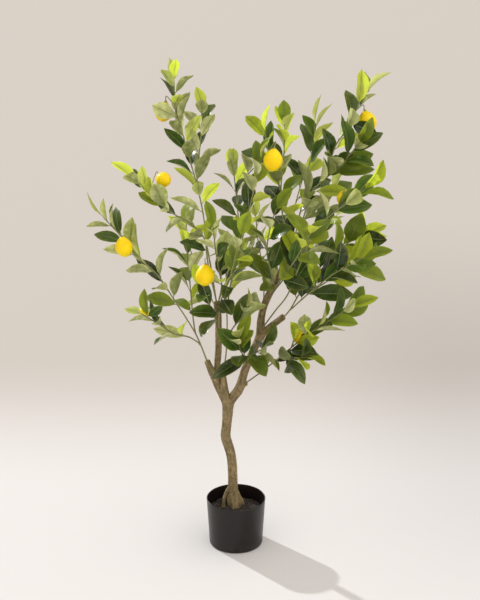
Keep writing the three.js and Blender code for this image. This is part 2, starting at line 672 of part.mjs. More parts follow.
function lemon(spec) {
  const { points, seat } = lemonFrame(spec);
  const profile = [[0, 0], [CALYX_RADIUS, 0]];
  LEMON_RINGS.forEach((share) => profile.push([lemonRadius(share), LEMON_LENGTH * share]));
  profile.push([0, LEMON_LENGTH]);
  const geometry = revolve(profile, LEMON_SIDES).scale(spec.size, spec.size, spec.size);
  const turn = new THREE.Quaternion().setFromUnitVectors(new THREE.Vector3(0, 0, 1), points);
  return solid(geometry.applyQuaternion(turn).translate(seat.x, seat.y, seat.z));
}

// The stalk leaves the stem, bends and ends in a small calyx just short of the fruit.
function stalkPath(spec, line) {
  const { points, seat } = lemonFrame(spec);
  const top = seat.clone().addScaledVector(points, -GAP);
  const collar = top.clone().addScaledVector(points, -CALYX_HEIGHT);
  const lead = top.clone().addScaledVector(points, -STALK_STRAIGHT);
  const start = locate(line, spec.along).point;
  return [start, lead, collar, top].map((p) => p.toArray());
}

function stalk(spec, line) {
  const [start, lead, collar, top] = stalkPath(spec, line);
  const middle = collar.map((v, k) => (v + top[k]) / 2);
  const thin = [start, lead, middle].map((p) => [...p, STALK_RADIUS]);
  const calyx = [[...collar, CALYX_NECK_RADIUS], [...top, CALYX_RADIUS]];
  return [sweep(thin, STALK_SIDES), sweep(calyx, CALYX_SIDES)];
}

// ---------------------------------------------------------------- sprays

const lines = Object.fromEntries(Object.entries(SPRAYS).map(([name, stems]) => (
  [name, stems.map((stem) => stem.route)])));

const lineOf = (spec) => lines[spec.spray][spec.stem];

// Everything that a leaf must keep clear of before any leaf is placed.
function firstMarks() {
  const marks = [];
  Object.values(WOOD).forEach((route) => smooth(route, 4).forEach((point) => {
    marks.push({ point: vector(point), reach: point[3], node: 'trunk' });
  }));
  Object.entries(lines).forEach(([name, stems]) => stems.forEach((line) => {
    marks.push(...alongLine(line, STEM_REACH, name));
  }));
  LEMONS.forEach((spec) => {
    const { points } = lemonFrame(spec);
    LEMON_MARKS.forEach((shift) => marks.push({
      point: vector(spec.centre).addScaledVector(points, shift * spec.size),
      reach: LEMON_REACH * spec.size,
      node: 'lemon',
    }));
    marks.push(...alongLine(stalkPath(spec, lineOf(spec)), STEM_REACH, spec.spray));
  });
  COVERS.forEach((spec) => samplePoints(coverLeaf(spec)).forEach((point) => {
    marks.push({ point, reach: LEAF_REACH, node: spec.spray });
  }));
  return marks;
}

function stemSolid(stem) {
  const thin = STEM_TIP_RADIUS - STEM_BASE_RADIUS;
  const tapered = stem.route.map((p, i) => (
    [...p, STEM_BASE_RADIUS + (i < 2 ? 0 : (thin * i) / (stem.route.length - 1))]));
  return sweep(tapered, STEM_SIDES);
}

function spray(name, seed, marks) {
  const draw = draws(seed);
  const pieces = [];
  SPRAYS[name].forEach((stem, i) => {
    pieces.push(stemSolid(stem));
    leavesOf(stem, lines[name][i], name, marks, draw).forEach((leaf) => pieces.push(blade(leaf)));
  });
  COVERS.filter((spec) => spec.spray === name).forEach((spec) => {
    pieces.push(blade(coverLeaf(spec)));
  });
  LEMONS.filter((spec) => spec.spray === name).forEach((spec) => {
    pieces.push(...stalk(spec, lineOf(spec)));
  });
  return join(pieces);
}

// ---------------------------------------------------------------- assembly

const material = (color, roughness) => (
  new THREE.MeshStandardMaterial({ color, roughness, metalness: 0 }));
const MATERIALS = {
  pot: material(0x38302d, 0.55),
  soil: material(0x4b4441, 0.9),
  bark: material(0x826e4b, 0.85),
  leaf: material(0x5a7d30, 0.45),
  lemon: material(0xf7cf1d, 0.4),
};

const tree = new THREE.Group();

function place(name, manifold, look) {
  const { vertProperties, triVerts } = manifold.getMesh();
  const geometry = new THREE.BufferGeometry();
  geometry.setAttribute('position', new THREE.BufferAttribute(vertProperties, 3));
  geometry.setIndex(new THREE.BufferAttribute(triVerts, 1));
  geometry.computeVertexNormals();
  const mesh = new THREE.Mesh(geometry, look);
  mesh.name = name;
  tree.add(mesh);
}

place('pot', pot(), MATERIALS.pot);
place('soil', soil(), MATERIALS.soil);
place('trunk', trunk(), MATERIALS.bark);

const marks = firstMarks();
Object.keys(SPRAYS).forEach((name, i) => {
  place(name, spray(name, FIRST_SEED + SEED_STEP * i, marks), MATERIALS.leaf);
});
LEMONS.forEach((spec, i) => {
  place(`lemon_${String(i + 1).padStart(2, '0')}`, lemon(spec), MATERIALS.lemon);
});

export default tree;
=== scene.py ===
# %% [markdown]
# # A lemon tree in its nursery pot
#
# This notebook dresses a small potted lemon tree. The plain solids come from the CAD model and
# stay where they are; every one of them gets a finer skin here. The photograph shows satin dark
# plastic, a smooth olive-brown trunk, thin green stems, glossy leaves lit from behind and waxy
# lemons. The leaves and lemons look like those of a good artificial tree, so one leaf is one
# smooth curved shell, and what varies from leaf to leaf is its size, bend, turn and shade.
#
# We work in metres. Z is up, X runs to the viewer's right and Y away from the viewer.

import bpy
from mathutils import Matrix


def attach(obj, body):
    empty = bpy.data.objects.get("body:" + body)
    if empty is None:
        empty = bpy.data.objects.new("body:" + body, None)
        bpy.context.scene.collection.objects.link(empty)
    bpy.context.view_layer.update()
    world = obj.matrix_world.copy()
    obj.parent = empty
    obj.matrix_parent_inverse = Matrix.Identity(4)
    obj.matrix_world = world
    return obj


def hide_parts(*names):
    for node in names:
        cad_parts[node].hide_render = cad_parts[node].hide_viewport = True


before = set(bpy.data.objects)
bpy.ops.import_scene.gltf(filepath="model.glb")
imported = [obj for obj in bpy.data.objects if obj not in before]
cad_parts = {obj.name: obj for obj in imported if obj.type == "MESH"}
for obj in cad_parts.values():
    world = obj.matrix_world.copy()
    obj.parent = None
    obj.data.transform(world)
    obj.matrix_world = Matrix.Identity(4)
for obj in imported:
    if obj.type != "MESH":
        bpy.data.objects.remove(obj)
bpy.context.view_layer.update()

# %% The other tools
import math

import bpy
import numpy as np
from mathutils import Vector

MM = 0.001
ACROSS_Y = np.array([0.0, 1.0, 0.0])
print("shapes are worked out in millimetres; one is", MM, "m")

# %% [markdown]
# ## Small geometry
#
# Nearly everything on a plant is a profile carried along a path: a stem, a root, a leaf stalk.
# We could use Blender's curve objects with a bevel, but their rings can't vary freely and a
# notebook reader can't see the points. So a path is an array of points, a profile is an array of
# places round it, and NumPy works out all the points of a surface at once.

# %% Curves
def unit(v):
    """Vectors divided by their own lengths."""
    return v / np.linalg.norm(v, axis=-1, keepdims=True)


def square_to(v, heading):
    """The part of v that is square to a heading, at length 1."""
    return unit(v - heading * (v @ heading))


def rows_for(axis):
    """Rows that turn a shape drawn along Z to an axis: Y × axis, axis × that, and the axis."""
    side = unit(np.cross(ACROSS_Y, axis))
    return np.stack([side, np.cross(axis, side), axis])


def curve(points, steps, straight=False):
    """A smooth curve through points of any number of coordinates.

    Between b and c, with neighbours a and d, the curve is half of
    2b + (c - a)t + (2a - 5b + 4c - d)t² + (3b - a - 3c + d)t³ for t from 0 to 1. Past an end the
    missing neighbour mirrors the last span. With straight, the first span stays a straight line.
    """
    p = np.asarray(points, float)
    padded = np.vstack([2 * p[0] - p[1], p, 2 * p[-1] - p[-2]])
    a, b, c, d = (padded[k:k + len(p) - 1, None] for k in range(4))
    t = (np.arange(1, steps + 1) / steps)[None, :, None]
    spans = 0.5 * (2 * b + (c - a) * t + (2 * a - 5 * b + 4 * c - d) * t**2
                   + (3 * b - a - 3 * c + d) * t**3)
    spans[:, -1] = c[:, 0]
    rows = spans.reshape(-1, p.shape[1])
    return np.vstack([p[:1], rows[steps - 1:] if straight else rows])


def reach_of(line):
    """The distance along a polyline to each of its points."""
    steps = np.linalg.norm(np.diff(line[:, :3], axis=0), axis=1)
    return np.concatenate([[0.0], np.cumsum(steps)])


def locate(line, at):
    """Points and directions at distances along a polyline, with the span and the share of it."""
    reach = reach_of(line)
    at = np.atleast_1d(np.asarray(at, float))
    k = np.clip(np.searchsorted(reach, at) - 1, 0, len(line) - 2)
    length = (reach[k + 1] - reach[k])[:, None]
    step = line[k + 1] - line[k]
    share = (at[:, None] - reach[k][:, None]) / length
    return line[k] + step * share, step / length, k, share[:, 0]


print("a quarter turn, smoothed:", curve([[0, 0], [1, 1], [2, 0]], 2).round(2).tolist())

# %% Noise for shapes
def lattice(cells, seed):
    """A number from 0 to 1 for each whole-number place, by scrambling its coordinates."""
    x, y, z = (cells[..., k].astype(np.int64) for k in range(3))
    h = (x * 73856093) ^ (y * 19349663) ^ (z * 83492791) ^ (seed * 2654435761)
    h = (h ^ (h >> 13)) * 1274126177
    return ((h ^ (h >> 16)) & 0xFFFF) / 65535.0


def noise(places, seed):
    """Smooth noise from -1 to 1: lattice numbers, blended over each cell by 3t² - 2t³."""
    cells = np.floor(places).astype(np.int64)
    t = places - cells
    t = t * t * (3 - 2 * t)
    total = np.zeros(places.shape[:-1])
    for corner in np.ndindex(2, 2, 2):
        pick = np.array(corner)
        share = np.where(pick, t, 1 - t).prod(axis=-1)
        total += share * lattice(cells + pick, seed)
    return 2 * total - 1


print("noise at three places:", noise(np.array([[0.5, 1.2, 3], [7, 8, 9.5], [2.2, 0, 0]]), 1))

# %% Faces
def grid_faces(rings, sides):
    """Quads that join each ring of points to the next one, all the way round."""
    ring = np.arange(rings - 1)[:, None] * sides
    k = np.arange(sides)[None, :]
    n = (k + 1) % sides
    return np.stack([ring + k, ring + n, ring + sides + n, ring + sides + k], -1).reshape(-1, 4)


def fan_faces(ring, tip, outward):
    """Triangles from a ring of points to one more point, which closes the end of a tube."""
    ends = np.stack([ring, np.roll(ring, -1), np.full(len(ring), tip)], -1)
    return ends if outward else ends[:, ::-1]


print("two rings of 3 points are joined by", grid_faces(2, 3).tolist())

# %% Meshes
def make_mesh(name, points, faces, sharp_degrees=60.0):
    """A new object from points in metres and lists of faces, smooth but for its sharp edges."""
    mesh = bpy.data.meshes.new(name)
    mesh.from_pydata(points.tolist(), [], [face.tolist() for part in faces for face in part])
    mesh.validate()
    mesh.shade_smooth()
    mesh.set_sharp_from_angle(angle=math.radians(sharp_degrees))
    piece = bpy.data.objects.new(name, mesh)
    bpy.context.scene.collection.objects.link(piece)
    return piece


def closed_tube(rings):
    """Points and faces of a tube through rings of points, closed by a fan at both ends."""
    count, sides = rings.shape[:2]
    points = np.vstack([rings.reshape(-1, 3), rings[0].mean(axis=0), rings[-1].mean(axis=0)])
    last = np.arange(sides) + (count - 1) * sides
    faces = [grid_faces(count, sides), fan_faces(np.arange(sides), count * sides, False),
             fan_faces(last, count * sides + 1, True)]
    return points, faces


def joined(parts):
    """Points and faces of many parts as those of one part, with the points numbered on."""
    first = np.cumsum([0] + [len(points) for points, _ in parts])
    faces = [some + start for start, (_, own) in zip(first, parts) for some in own]
    return np.vstack([points for points, _ in parts]), faces


print("faces of a tube of 3 rings of 8:", sum(len(f) for f in closed_tube(np.zeros((3, 8, 3)))[1]))

# %% Rings along a path or round an axis
def arms_of(path):
    """Directions along a path, and two arms square to it: Y × direction, direction × arm."""
    along = unit(np.gradient(path, axis=0))
    arm = unit(np.cross(ACROSS_Y, along))
    return along, arm, np.cross(along, arm)


def rings_along(path, radii, sides):
    """Rings of points square to a path.

    A ring's point lies radius · cos(angle) along one arm and radius · sin(angle) along the other.
    """
    _, arm, other = arms_of(path)
    angle = 2 * math.pi * np.arange(sides) / sides
    spoke = arm[:, None] * np.cos(angle)[:, None] + other[:, None] * np.sin(angle)[:, None]
    return path[:, None] + spoke * np.asarray(radii, float)[:, None, None]


def turned(profile, sides, lobes=0, depth=0.0):
    """Rings of a turned shape about Z from rows of radius and height, wavy when it has lobes."""
    angle = 2 * math.pi * np.arange(sides) / sides
    reach = profile[:, :1] * (1 + depth * np.cos(lobes * angle))
    return np.stack([reach * np.cos(angle), reach * np.sin(angle),
                     np.repeat(profile[:, 1:], sides, axis=1)], -1)


print("a cup of 2 rings of 96 points:", turned(np.array([[60, 0], [75, 127]]), 96).shape)

# %% [markdown]
# ## Shader maths
#
# A material is a small sum worked out at every point of a surface. Written as nodes by hand it
# becomes a page of links. So one class wraps a socket, and adding or multiplying two wrapped
# sockets adds the Math node that does it. Every other node comes from one method, for the
# materials and for the sky alike.

# %% Wires
class Wire:
    """One output of a node. Arithmetic on wires and numbers adds Math nodes."""

    def __init__(self, nodes, socket):
        self.nodes, self.socket = nodes, socket

    def maths(self, operation, *values):
        return self.nodes.add("ShaderNodeMath", {"operation": operation}, dict(enumerate(values)))

    def __add__(self, other):
        return self.maths("ADD", self, other)

    def __sub__(self, other):
        return self.maths("SUBTRACT", self, other)

    def __rsub__(self, other):
        return self.maths("SUBTRACT", other, self)

    def __mul__(self, other):
        return self.maths("MULTIPLY", self, other)

    def __abs__(self):
        return self.maths("ABSOLUTE", self)

    __radd__ = __add__
    __rmul__ = __mul__

    def fraction(self):
        return self.maths("FRACT", self)

    def between(self, low, high):
        """0 below low, 1 above high, smooth between; the other way round if low is above."""
        ends = {"Value": self, "From Min": min(low, high), "From Max": max(low, high),
                "To Min": float(low > high), "To Max": float(low <= high)}
        return self.nodes.add("ShaderNodeMapRange", {"interpolation_type": "SMOOTHSTEP"}, ends)


class Nodes:
    """A node tree that holds only the nodes added here, and its output."""

    def __init__(self, tree, output):
        tree.nodes.clear()
        self.tree, self.out = tree, tree.nodes.new(output)

    def add(self, kind, settings=(), inputs=(), output=0):
        """Adds a node: its settings first, then its sockets' values or wires. Gives one output."""
        node = self.tree.nodes.new(kind)
        for key, value in dict(settings).items():
            if key == "stops":
                ramp = node.color_ramp.elements
                while len(ramp) < len(value):
                    ramp.new(1.0)
                for stop, (place, colour) in zip(ramp, value):
                    stop.position, stop.color = place, (*colour, 1.0)
            else:
                setattr(node, key, value)
        for key, value in dict(inputs).items():
            if isinstance(value, Wire):
                self.tree.links.new(value.socket, node.inputs[key])
            else:
                node.inputs[key].default_value = value
        return Wire(self, node.outputs[output])

    def end(self, shader):
        """Links the last shader to the output."""
        self.tree.links.new(shader.socket, self.out.inputs["Surface"])


print("a wire knows:", [name for name in vars(Wire) if not name.startswith("_")])

# %% Finishes
class Finish(Nodes):
    """A material: the places and patterns that it reads, and the shader that they feed."""

    def __init__(self, name):
        self.material = bpy.data.materials.new(name)
        self.material.use_nodes = True
        super().__init__(self.material.node_tree, "ShaderNodeOutputMaterial")

    def place(self):
        """Object coordinates, in metres."""
        return self.add("ShaderNodeTexCoord", output="Object")

    def run(self, axis, places=None):
        """One of the three numbers of a place: 0 is X, 1 is Y and 2 is Z."""
        return self.add("ShaderNodeSeparateXYZ", {}, {0: places or self.place()}, axis)

    def stretched(self, scale):
        """Object coordinates times a number for each axis."""
        return self.add("ShaderNodeMapping", {}, {"Vector": self.place(), "Scale": scale})

    def cloud(self, scale, detail=3.0, roughness=0.55, vector=None):
        """Soft noise with features of about 1 / scale metres."""
        where = self.place() if vector is None else vector
        return self.add("ShaderNodeTexNoise", {}, {"Vector": where, "Scale": scale,
                                                   "Detail": detail, "Roughness": roughness})

    def cells(self, scale, vector=None):
        """The distance to the nearest of scattered points, as in pores and grains."""
        where = self.place() if vector is None else vector
        return self.add("ShaderNodeTexVoronoi", {}, {"Vector": where, "Scale": scale})

    def own(self, name):
        """A number that the mesh carries for each of its points."""
        return self.add("ShaderNodeAttribute", {"attribute_name": name}, output="Fac")

    def ramp(self, wire, *stops):
        """A colour for each value of a wire, from (place, colour) stops."""
        return self.add("ShaderNodeValToRGB", {"stops": stops}, {0: wire})

    def mix(self, share, a, b, blend="MIX"):
        """Colour a, and b where share is 1. A colour is a wire or three numbers."""
        a, b = (x if isinstance(x, Wire) else (*x, 1.0) for x in (a, b))
        return self.add("ShaderNodeMix", {"data_type": "RGBA", "blend_type": blend},
                        {0: share, 6: a, 7: b}, 2)

    def bump(self, height, distance, strength=1.0):
        """Normals of a surface raised by height times distance, in metres."""
        return self.add("ShaderNodeBump", {}, {"Height": height, "Distance": distance,
                                               "Strength": strength})

    def surface(self, sockets, through=None, share=0.0):
        """Ends the material: Principled, mixed with light let through where a leaf is thin."""
        shader = self.add("ShaderNodeBsdfPrincipled", {}, sockets)
        if through is not None:
            light = self.add("ShaderNodeBsdfTranslucent", {}, {"Color": (*through, 1.0)})
            shader = self.add("ShaderNodeMixShader", {}, {0: share, 1: shader, 2: light})
        self.end(shader)
        return self.material


print("a finish knows:", [name for name in vars(Finish) if not name.startswith("_")])

# %% [markdown]
# ## Finishing a piece
#
# The CAD nodes stay in the model for the physics. Each finer piece rides on the root body, and
# the CAD node that it stands for is hidden. What varies over a mesh, such as the shade of each
# leaf, is stored in it as an attribute, which a material can read by its name.

# %% Dress a node
def dress(piece, node, slot, *materials):
    """Gives a piece its materials and lets it stand for a CAD node."""
    for material in materials:
        piece.data.materials.append(material)
    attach(piece, "root")
    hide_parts(node)
    return piece


def attribute(piece, name, values):
    """Stores one number for each point of a piece's mesh."""
    data = piece.data.attributes.new(name, "FLOAT", "POINT").data
    data.foreach_set("value", np.asarray(values, np.float32))


# %% [markdown]
# ## The pot
#
# A plain round nursery pot of 15 cm: a thin wall, a small round where the wall meets the floor,
# and a soft rim. It is blown or moulded in one piece, so it is a single turned profile. We could
# turn it with a Screw modifier, but the rings are as quickly worked out as the profile is.

# %% Pot shape
POT_HEIGHT = 127
POT_RIM_RADIUS = 75.5
POT_BASE_RADIUS = 68.5
POT_BASE_ROUND = 5
POT_WALL = 2.5
POT_FLOOR = 5
RIM_ROUND = POT_WALL / 2
POT_SIDES = 96
ARC_STEPS = 9
WALL_STEPS = 12
FOOT_STEPS = [(-16, 1.6), (-14.5, 1.2), (-13.6, 0.3), (-12.4, 0)]


def pot_profile():
    """Radius and height of the pot, from the edge of its raised underside to that of its floor.

    The foot steps down from the raised underside, the corner is a quarter circle, the wall a
    straight taper, the rim a half circle as wide as the wall, and the inside the same reversed.
    """
    foot = np.array([POT_BASE_RADIUS, 0]) + FOOT_STEPS
    angle = np.linspace(0, math.pi / 2, ARC_STEPS)
    corner = np.stack([POT_BASE_RADIUS - POT_BASE_ROUND * (1 - np.sin(angle)),
                       POT_BASE_ROUND * (1 - np.cos(angle))], -1)
    rise = np.linspace(0, 1, WALL_STEPS)[1:-1, None]
    bottom, top = corner[-1], np.array([POT_RIM_RADIUS, POT_HEIGHT - RIM_ROUND])
    wall = bottom + (top - bottom) * rise
    half = np.linspace(0, math.pi, ARC_STEPS)
    rim = np.stack([POT_RIM_RADIUS - RIM_ROUND + RIM_ROUND * np.cos(half),
                    POT_HEIGHT - RIM_ROUND + RIM_ROUND * np.sin(half)], -1)
    inside = wall[::-1] - [POT_WALL, 0]
    floor = [[POT_BASE_RADIUS - POT_WALL, POT_FLOOR],
             [POT_BASE_RADIUS - POT_WALL - POT_FLOOR, POT_FLOOR]]
    return np.vstack([foot, corner, wall, rim, inside, floor])


shell_points, shell_faces = closed_tube(turned(pot_profile(), POT_SIDES))
pot = make_mesh("pot_shell", shell_points * MM, shell_faces, sharp_degrees=40.0)
print("pot:", len(pot.data.polygons), "faces")

# %% [markdown]
# Painting the pot is mostly a matter of restraint: dark satin plastic whose gloss is faintly
# clouded and streaked, a little dust near the floor, and hardly any texture. All of it is noise
# on Object coordinates, because the pattern has no direction of its own but up and down.

# %% Pot finish
def pot_finish():
    """Satin black-brown plastic, faintly clouded, with a little dust near the floor."""
    f = Finish("satin_pot_plastic")
    clouds = f.cloud(38.0, 4.0)
    streaks = f.cloud(1.0, 3.0, vector=f.stretched((260, 260, 14)))
    dust = f.run(2).between(0.030, 0.001) * f.cloud(120.0, 4.0).between(0.35, 0.75)
    colour = f.mix(clouds, (0.0062, 0.0036, 0.0032), (0.0088, 0.0056, 0.0050))
    colour = f.mix(dust * 0.16, colour, (0.11, 0.095, 0.08))
    rough = 0.24 + clouds * 0.12 + streaks * 0.06 + dust * 0.2
    bump = f.bump(f.cloud(900.0, 2.0) * 0.5 + streaks * 0.5, 0.00006)
    return f.surface({"Base Color": colour, "Roughness": rough, "Normal": bump,
                      "Specular IOR Level": 0.37})


dress(pot, "pot", "pot", pot_finish())
print("pot dressed")

# %% [markdown]
# ## The filling
#
# The pot is filled to about 34 mm below its rim with a dark crumbly mix, nearly level. We could
# scatter hundreds of crumbs, or displace a plane. Here the surface is a disc of rings, lifted by
# slow waves as in the CAD solid and by three sizes of noise, and the shader adds the finest
# grains. The sides and underside are hidden, so a few rings are enough there.

# %% Soil shape
SOIL_LEVEL = 92
SOIL_SWELL = 2
SWELL_SHARE = 0.8
GAP = 0.35
SOIL_RINGS = 56
SOIL_SIDES = 160
LUMPS = [(7.5, 0.9), (3.1, 0.75), (1.6, 0.4)]
FIRST_LUMP_SEED = 3


def soil_height(x, y):
    """The level, plus two crossing waves, a diagonal one, and noise of three widths.

    The waves are 0.8 times as high as the solid's, to leave some height to the crumbs.
    """
    swell = np.sin(x / 19 + 0.6) * np.cos(y / 16 - 0.4) + 0.6 * np.sin((x + y) / 9)
    spot = np.stack([x, y, np.zeros_like(x)], -1)
    lumps = sum(noise(spot / width, seed) * height
                for seed, (width, height) in enumerate(LUMPS, FIRST_LUMP_SEED))
    return SOIL_LEVEL + SOIL_SWELL * swell * SWELL_SHARE + lumps


def soil_piece():
    """The filling: underside, side and a crumbly top, as rings of points."""
    wall_level = SOIL_LEVEL - 2 * SOIL_SWELL
    rise = (wall_level - POT_BASE_ROUND) / (POT_HEIGHT - POT_BASE_ROUND)
    edge = POT_BASE_RADIUS - POT_WALL + rise * (POT_RIM_RADIUS - POT_BASE_RADIUS) - GAP
    base = POT_BASE_RADIUS - POT_WALL - POT_FLOOR - GAP
    angle = 2 * math.pi * np.arange(SOIL_SIDES) / SOIL_SIDES
    reach = np.concatenate([[base, POT_BASE_RADIUS - POT_WALL - GAP],
                            edge * np.arange(SOIL_RINGS, 0, -1) / SOIL_RINGS])
    x, y = reach[:, None] * np.cos(angle), reach[:, None] * np.sin(angle)
    z = soil_height(x, y)
    z[:2] = POT_FLOOR + GAP
    points, faces = closed_tube(np.stack([x, y, z], -1))
    return make_mesh("potting_soil", points * MM, faces, sharp_degrees=180.0)


soil = soil_piece()
print("soil:", len(soil.data.polygons), "faces")

# %% [markdown]
# The mix is dark and matte, and every grain has a shade of its own. A Voronoi texture gives each
# of its cells one random colour, so one of that colour's channels serves as the grain's shade.

# %% Soil finish
def soil_finish():
    """Dark matte crumbs: each grain with its own shade, calmed by clouds, and pale specks."""
    f = Finish("dark_potting_mix")
    grain = f.add("ShaderNodeTexVoronoi", {}, {"Vector": f.place(), "Scale": 520.0}, "Color")
    shade = f.add("ShaderNodeSeparateColor", {}, {0: grain}, 0)
    clouds = f.cloud(60.0, 5.0, 0.65)
    colour = f.ramp(shade, (0.0, (0.010, 0.008, 0.007)), (0.6, (0.040, 0.033, 0.029)),
                    (1.0, (0.105, 0.090, 0.080)))
    colour = f.mix(clouds.between(0.35, 0.7) * 0.6, colour, (0.032, 0.026, 0.022))
    colour = f.mix(shade.between(0.955, 0.97) * 0.7, colour, (0.26, 0.22, 0.17))
    height = f.cells(520.0) * 0.5 + f.cloud(1400.0, 3.0) * 0.3 + f.cells(210.0) * 0.6
    return f.surface({"Base Color": colour, "Roughness": 0.82 + clouds * 0.12,
                      "Normal": f.bump(height, 0.0011), "Specular IOR Level": 0.2})


dress(soil, "soil", "soil", soil_finish())
print("soil dressed")

# %% [markdown]
# ## The trunk
#
# The real trunk bends twice, forks at a third of the tree's height and ends in bare stubs from
# which the green stems grow. At its foot it spreads into a few roots, one of them arched. A trunk
# could be sculpted, or made of curve objects. Here each limb is a tube along its own route. The
# tubes are joined, a Remesh modifier turns them into one skin and a little smoothing fills the
# forks, as bark does.

# %% Limb routes, in millimetres, with the radius last
WOOD = {
  "bole": [
    [-8, 28, 45, 12], [-8, 28, 96, 13.5], [-8, 28, 122, 12.5], [-8, 28, 155, 11.5],
    [-9, 27, 192, 11], [-12, 25, 230, 11], [-18, 22, 259, 11.5], [-24, 20, 279, 12],
    [-26, 18, 298, 11.5], [-23, 15, 329, 11], [-21, 12, 358, 12], [-20, 10, 390, 14],
  ],
  "root_left": [[-12, 27, 144, 5], [-24, 24, 131, 3.4], [-31, 21, 108, 3.2], [-32, 19, 84, 4]],
  "root_right": [[-4, 27, 132, 9], [2, 28, 112, 10], [8, 29, 98, 11], [11, 30, 84, 11]],
  "root_front": [[-7, 24, 126, 9], [-4, 20, 108, 11], [-1, 16, 96, 12], [0, 13, 84, 12]],
  "root_back": [[-8, 31, 124, 9], [-9, 37, 108, 10], [-10, 42, 96, 10], [-11, 46, 84, 10]],
  "left_fork": [
    [-19, 11, 366, 11], [-25, 9, 394, 11.5], [-40, 4, 430, 10.5], [-57, -4, 471, 8.5],
    [-71, -12, 509, 6.5],
  ],
  "left_limb": [
    [-42, 3, 436, 7], [-48, 5, 462, 7.5], [-46, 8, 493, 7.2], [-43, 12, 537, 6.8],
    [-43, 14, 605, 7], [-45, 16, 640, 8], [-45, 16, 654, 8.2],
  ],
  "middle_stub": [[-20, 10, 376, 10], [-25, 4, 408, 9], [-29, -6, 440, 8], [-32, -12, 476, 6]],
  "right_limb": [
    [-20, 10, 364, 11], [-13, 9, 394, 11], [9, 4, 430, 11], [21, 6, 473, 9.2], [35, 8, 509, 8.5],
    [48, 12, 538, 8.5], [60, 14, 568, 9.8], [62, 12, 606, 8.6], [67, 10, 638, 7.6],
    [82, 6, 679, 7.6], [102, 4, 716, 6.8], [119, 8, 760, 6.8], [130, 9, 780, 7.4],
    [134, 10, 791, 7.4],
  ],
  "right_stub": [[59, 13, 556, 8], [70, 10, 576, 7.5], [89, 4, 597, 7.2], [117, -6, 624, 6.8]],
  "knob": [[10, 6, 432, 7], [20, 4, 440, 6], [26, 2, 445, 5.2]],
}
print("limbs:", len(WOOD))

# %% One skin for all limbs
SKIN_VOXEL = 1.3
LIMB_STEPS = 6
LIMB_RING = 20
EASE_FACTOR, EASE_ROUNDS = 0.5, 7


def joined_limbs():
    """All limbs as one loose mesh, ready to be remeshed."""
    paths = [curve(route, LIMB_STEPS) for route in WOOD.values()]
    points, faces = joined([closed_tube(rings_along(path[:, :3], path[:, 3], LIMB_RING))
                            for path in paths])
    return make_mesh("limbs", points * MM, faces)


def one_skin():
    """The limbs wrapped in one skin of small even faces, with the forks smoothed over."""
    limbs = joined_limbs()
    wrap = limbs.modifiers.new("wrap", "REMESH")
    wrap.mode, wrap.voxel_size, wrap.adaptivity = "VOXEL", SKIN_VOXEL * MM, 0.0
    ease = limbs.modifiers.new("ease", "SMOOTH")
    ease.factor, ease.iterations = EASE_FACTOR, EASE_ROUNDS
    shown = limbs.evaluated_get(bpy.context.evaluated_depsgraph_get())
    mesh = bpy.data.meshes.new_from_object(shown)
    mesh.name = "trunk_bark"
    bpy.data.objects.remove(limbs)
    return mesh


skin = one_skin()
print("trunk skin:", len(skin.polygons), "faces")

# %% [markdown]
# Bark isn't smooth. Long low ridges run along every limb, dents of two widths lie over them, and
# rounded nubs show where twigs once grew. A Displace modifier would need a texture that knows
# which way each limb runs. Instead every point moves along its normal, by noise that is drawn
# out along the limb that the point belongs to.

# %% Bark ridges
SKIN_GAIN = 1.3
RIDGE_HEIGHT = 0.5
RIDGE_SPACING = 4.2
RIDGE_LENGTH = 26.0
RIDGE_STEPS = 10
FIRST_RIDGE_SEED = 20
FINER, FINER_HEIGHT, FINER_SEED = [2.1, 2.1, 2.6], 0.5, 50
DENTS = [(9.0, 0.5), (2.8, 0.45)]
FIRST_DENT_SEED = 90


def read_rows(collection, key):
    """Three numbers for each item of a mesh's points or normals, as rows of an array."""
    flat = np.empty(len(collection) * 3, np.float32)
    collection.foreach_get(key, flat)
    return flat.reshape(-1, 3).astype(float)


def limb_ridges(points, route, seed):
    """How near each point is to one limb, and the ridges there.

    A point's own station is the nearest one of the limb's path. The ridge noise is sampled at
    the arms' components of the offset, close together, and at the distance along the limb, far
    apart, so its features are long and thin. Nearness is exp(-gap² / 2), where the gap is the
    distance from the limb's own surface.
    """
    path = curve(route, RIDGE_STEPS)
    along, arm, other = arms_of(path[:, :3])
    k = ((points[:, None] - path[None, :, :3]) ** 2).sum(-1).argmin(axis=1)
    offset = points - path[k, :3]
    gap = np.linalg.norm(offset, axis=1) - path[k, 3]
    run = reach_of(path)[k] + (offset * along[k]).sum(-1)
    where = np.stack([(offset * arm[k]).sum(-1) / RIDGE_SPACING,
                      (offset * other[k]).sum(-1) / RIDGE_SPACING, run / RIDGE_LENGTH], -1)
    ridges = noise(where, seed) + FINER_HEIGHT * noise(where * FINER, seed + FINER_SEED)
    return np.exp(-np.clip(gap, 0, None) ** 2 / 2.0), ridges


def bark_height(points):
    """Ridges of all limbs, each weighed by how near the limb is, plus dents of two widths."""
    weight = np.full(len(points), 1e-6)
    total = np.zeros(len(points))
    for seed, route in enumerate(WOOD.values(), FIRST_RIDGE_SEED):
        near, ridges = limb_ridges(points, route, seed)
        weight += near
        total += near * ridges
    height = total / weight
    for seed, (width, depth) in enumerate(DENTS, FIRST_DENT_SEED):
        height = height + depth * noise(points / width, seed)
    return height


print("ridges at the foot of the bole:", bark_height(np.array([[-8.0, 15.0, 150.0]])).round(2))

# %% Nubs: where they are and their size
NUBS = [[-27, 8, 301, 2.2], [-12, 14, 262, 2.0], [-36, -2, 452, 2.2], [-33, 6, 352, 2.0],
        [-52, 3, 520, 1.8], [-36, 10, 585, 1.8], [44, 4, 530, 2.0], [66, 3, 600, 2.0],
        [14, -4, 415, 2.0], [96, -2, 690, 1.7], [-15, 16, 205, 1.9]]
NUB_HEIGHT, NUB_SPREAD = 1.3, 1.7


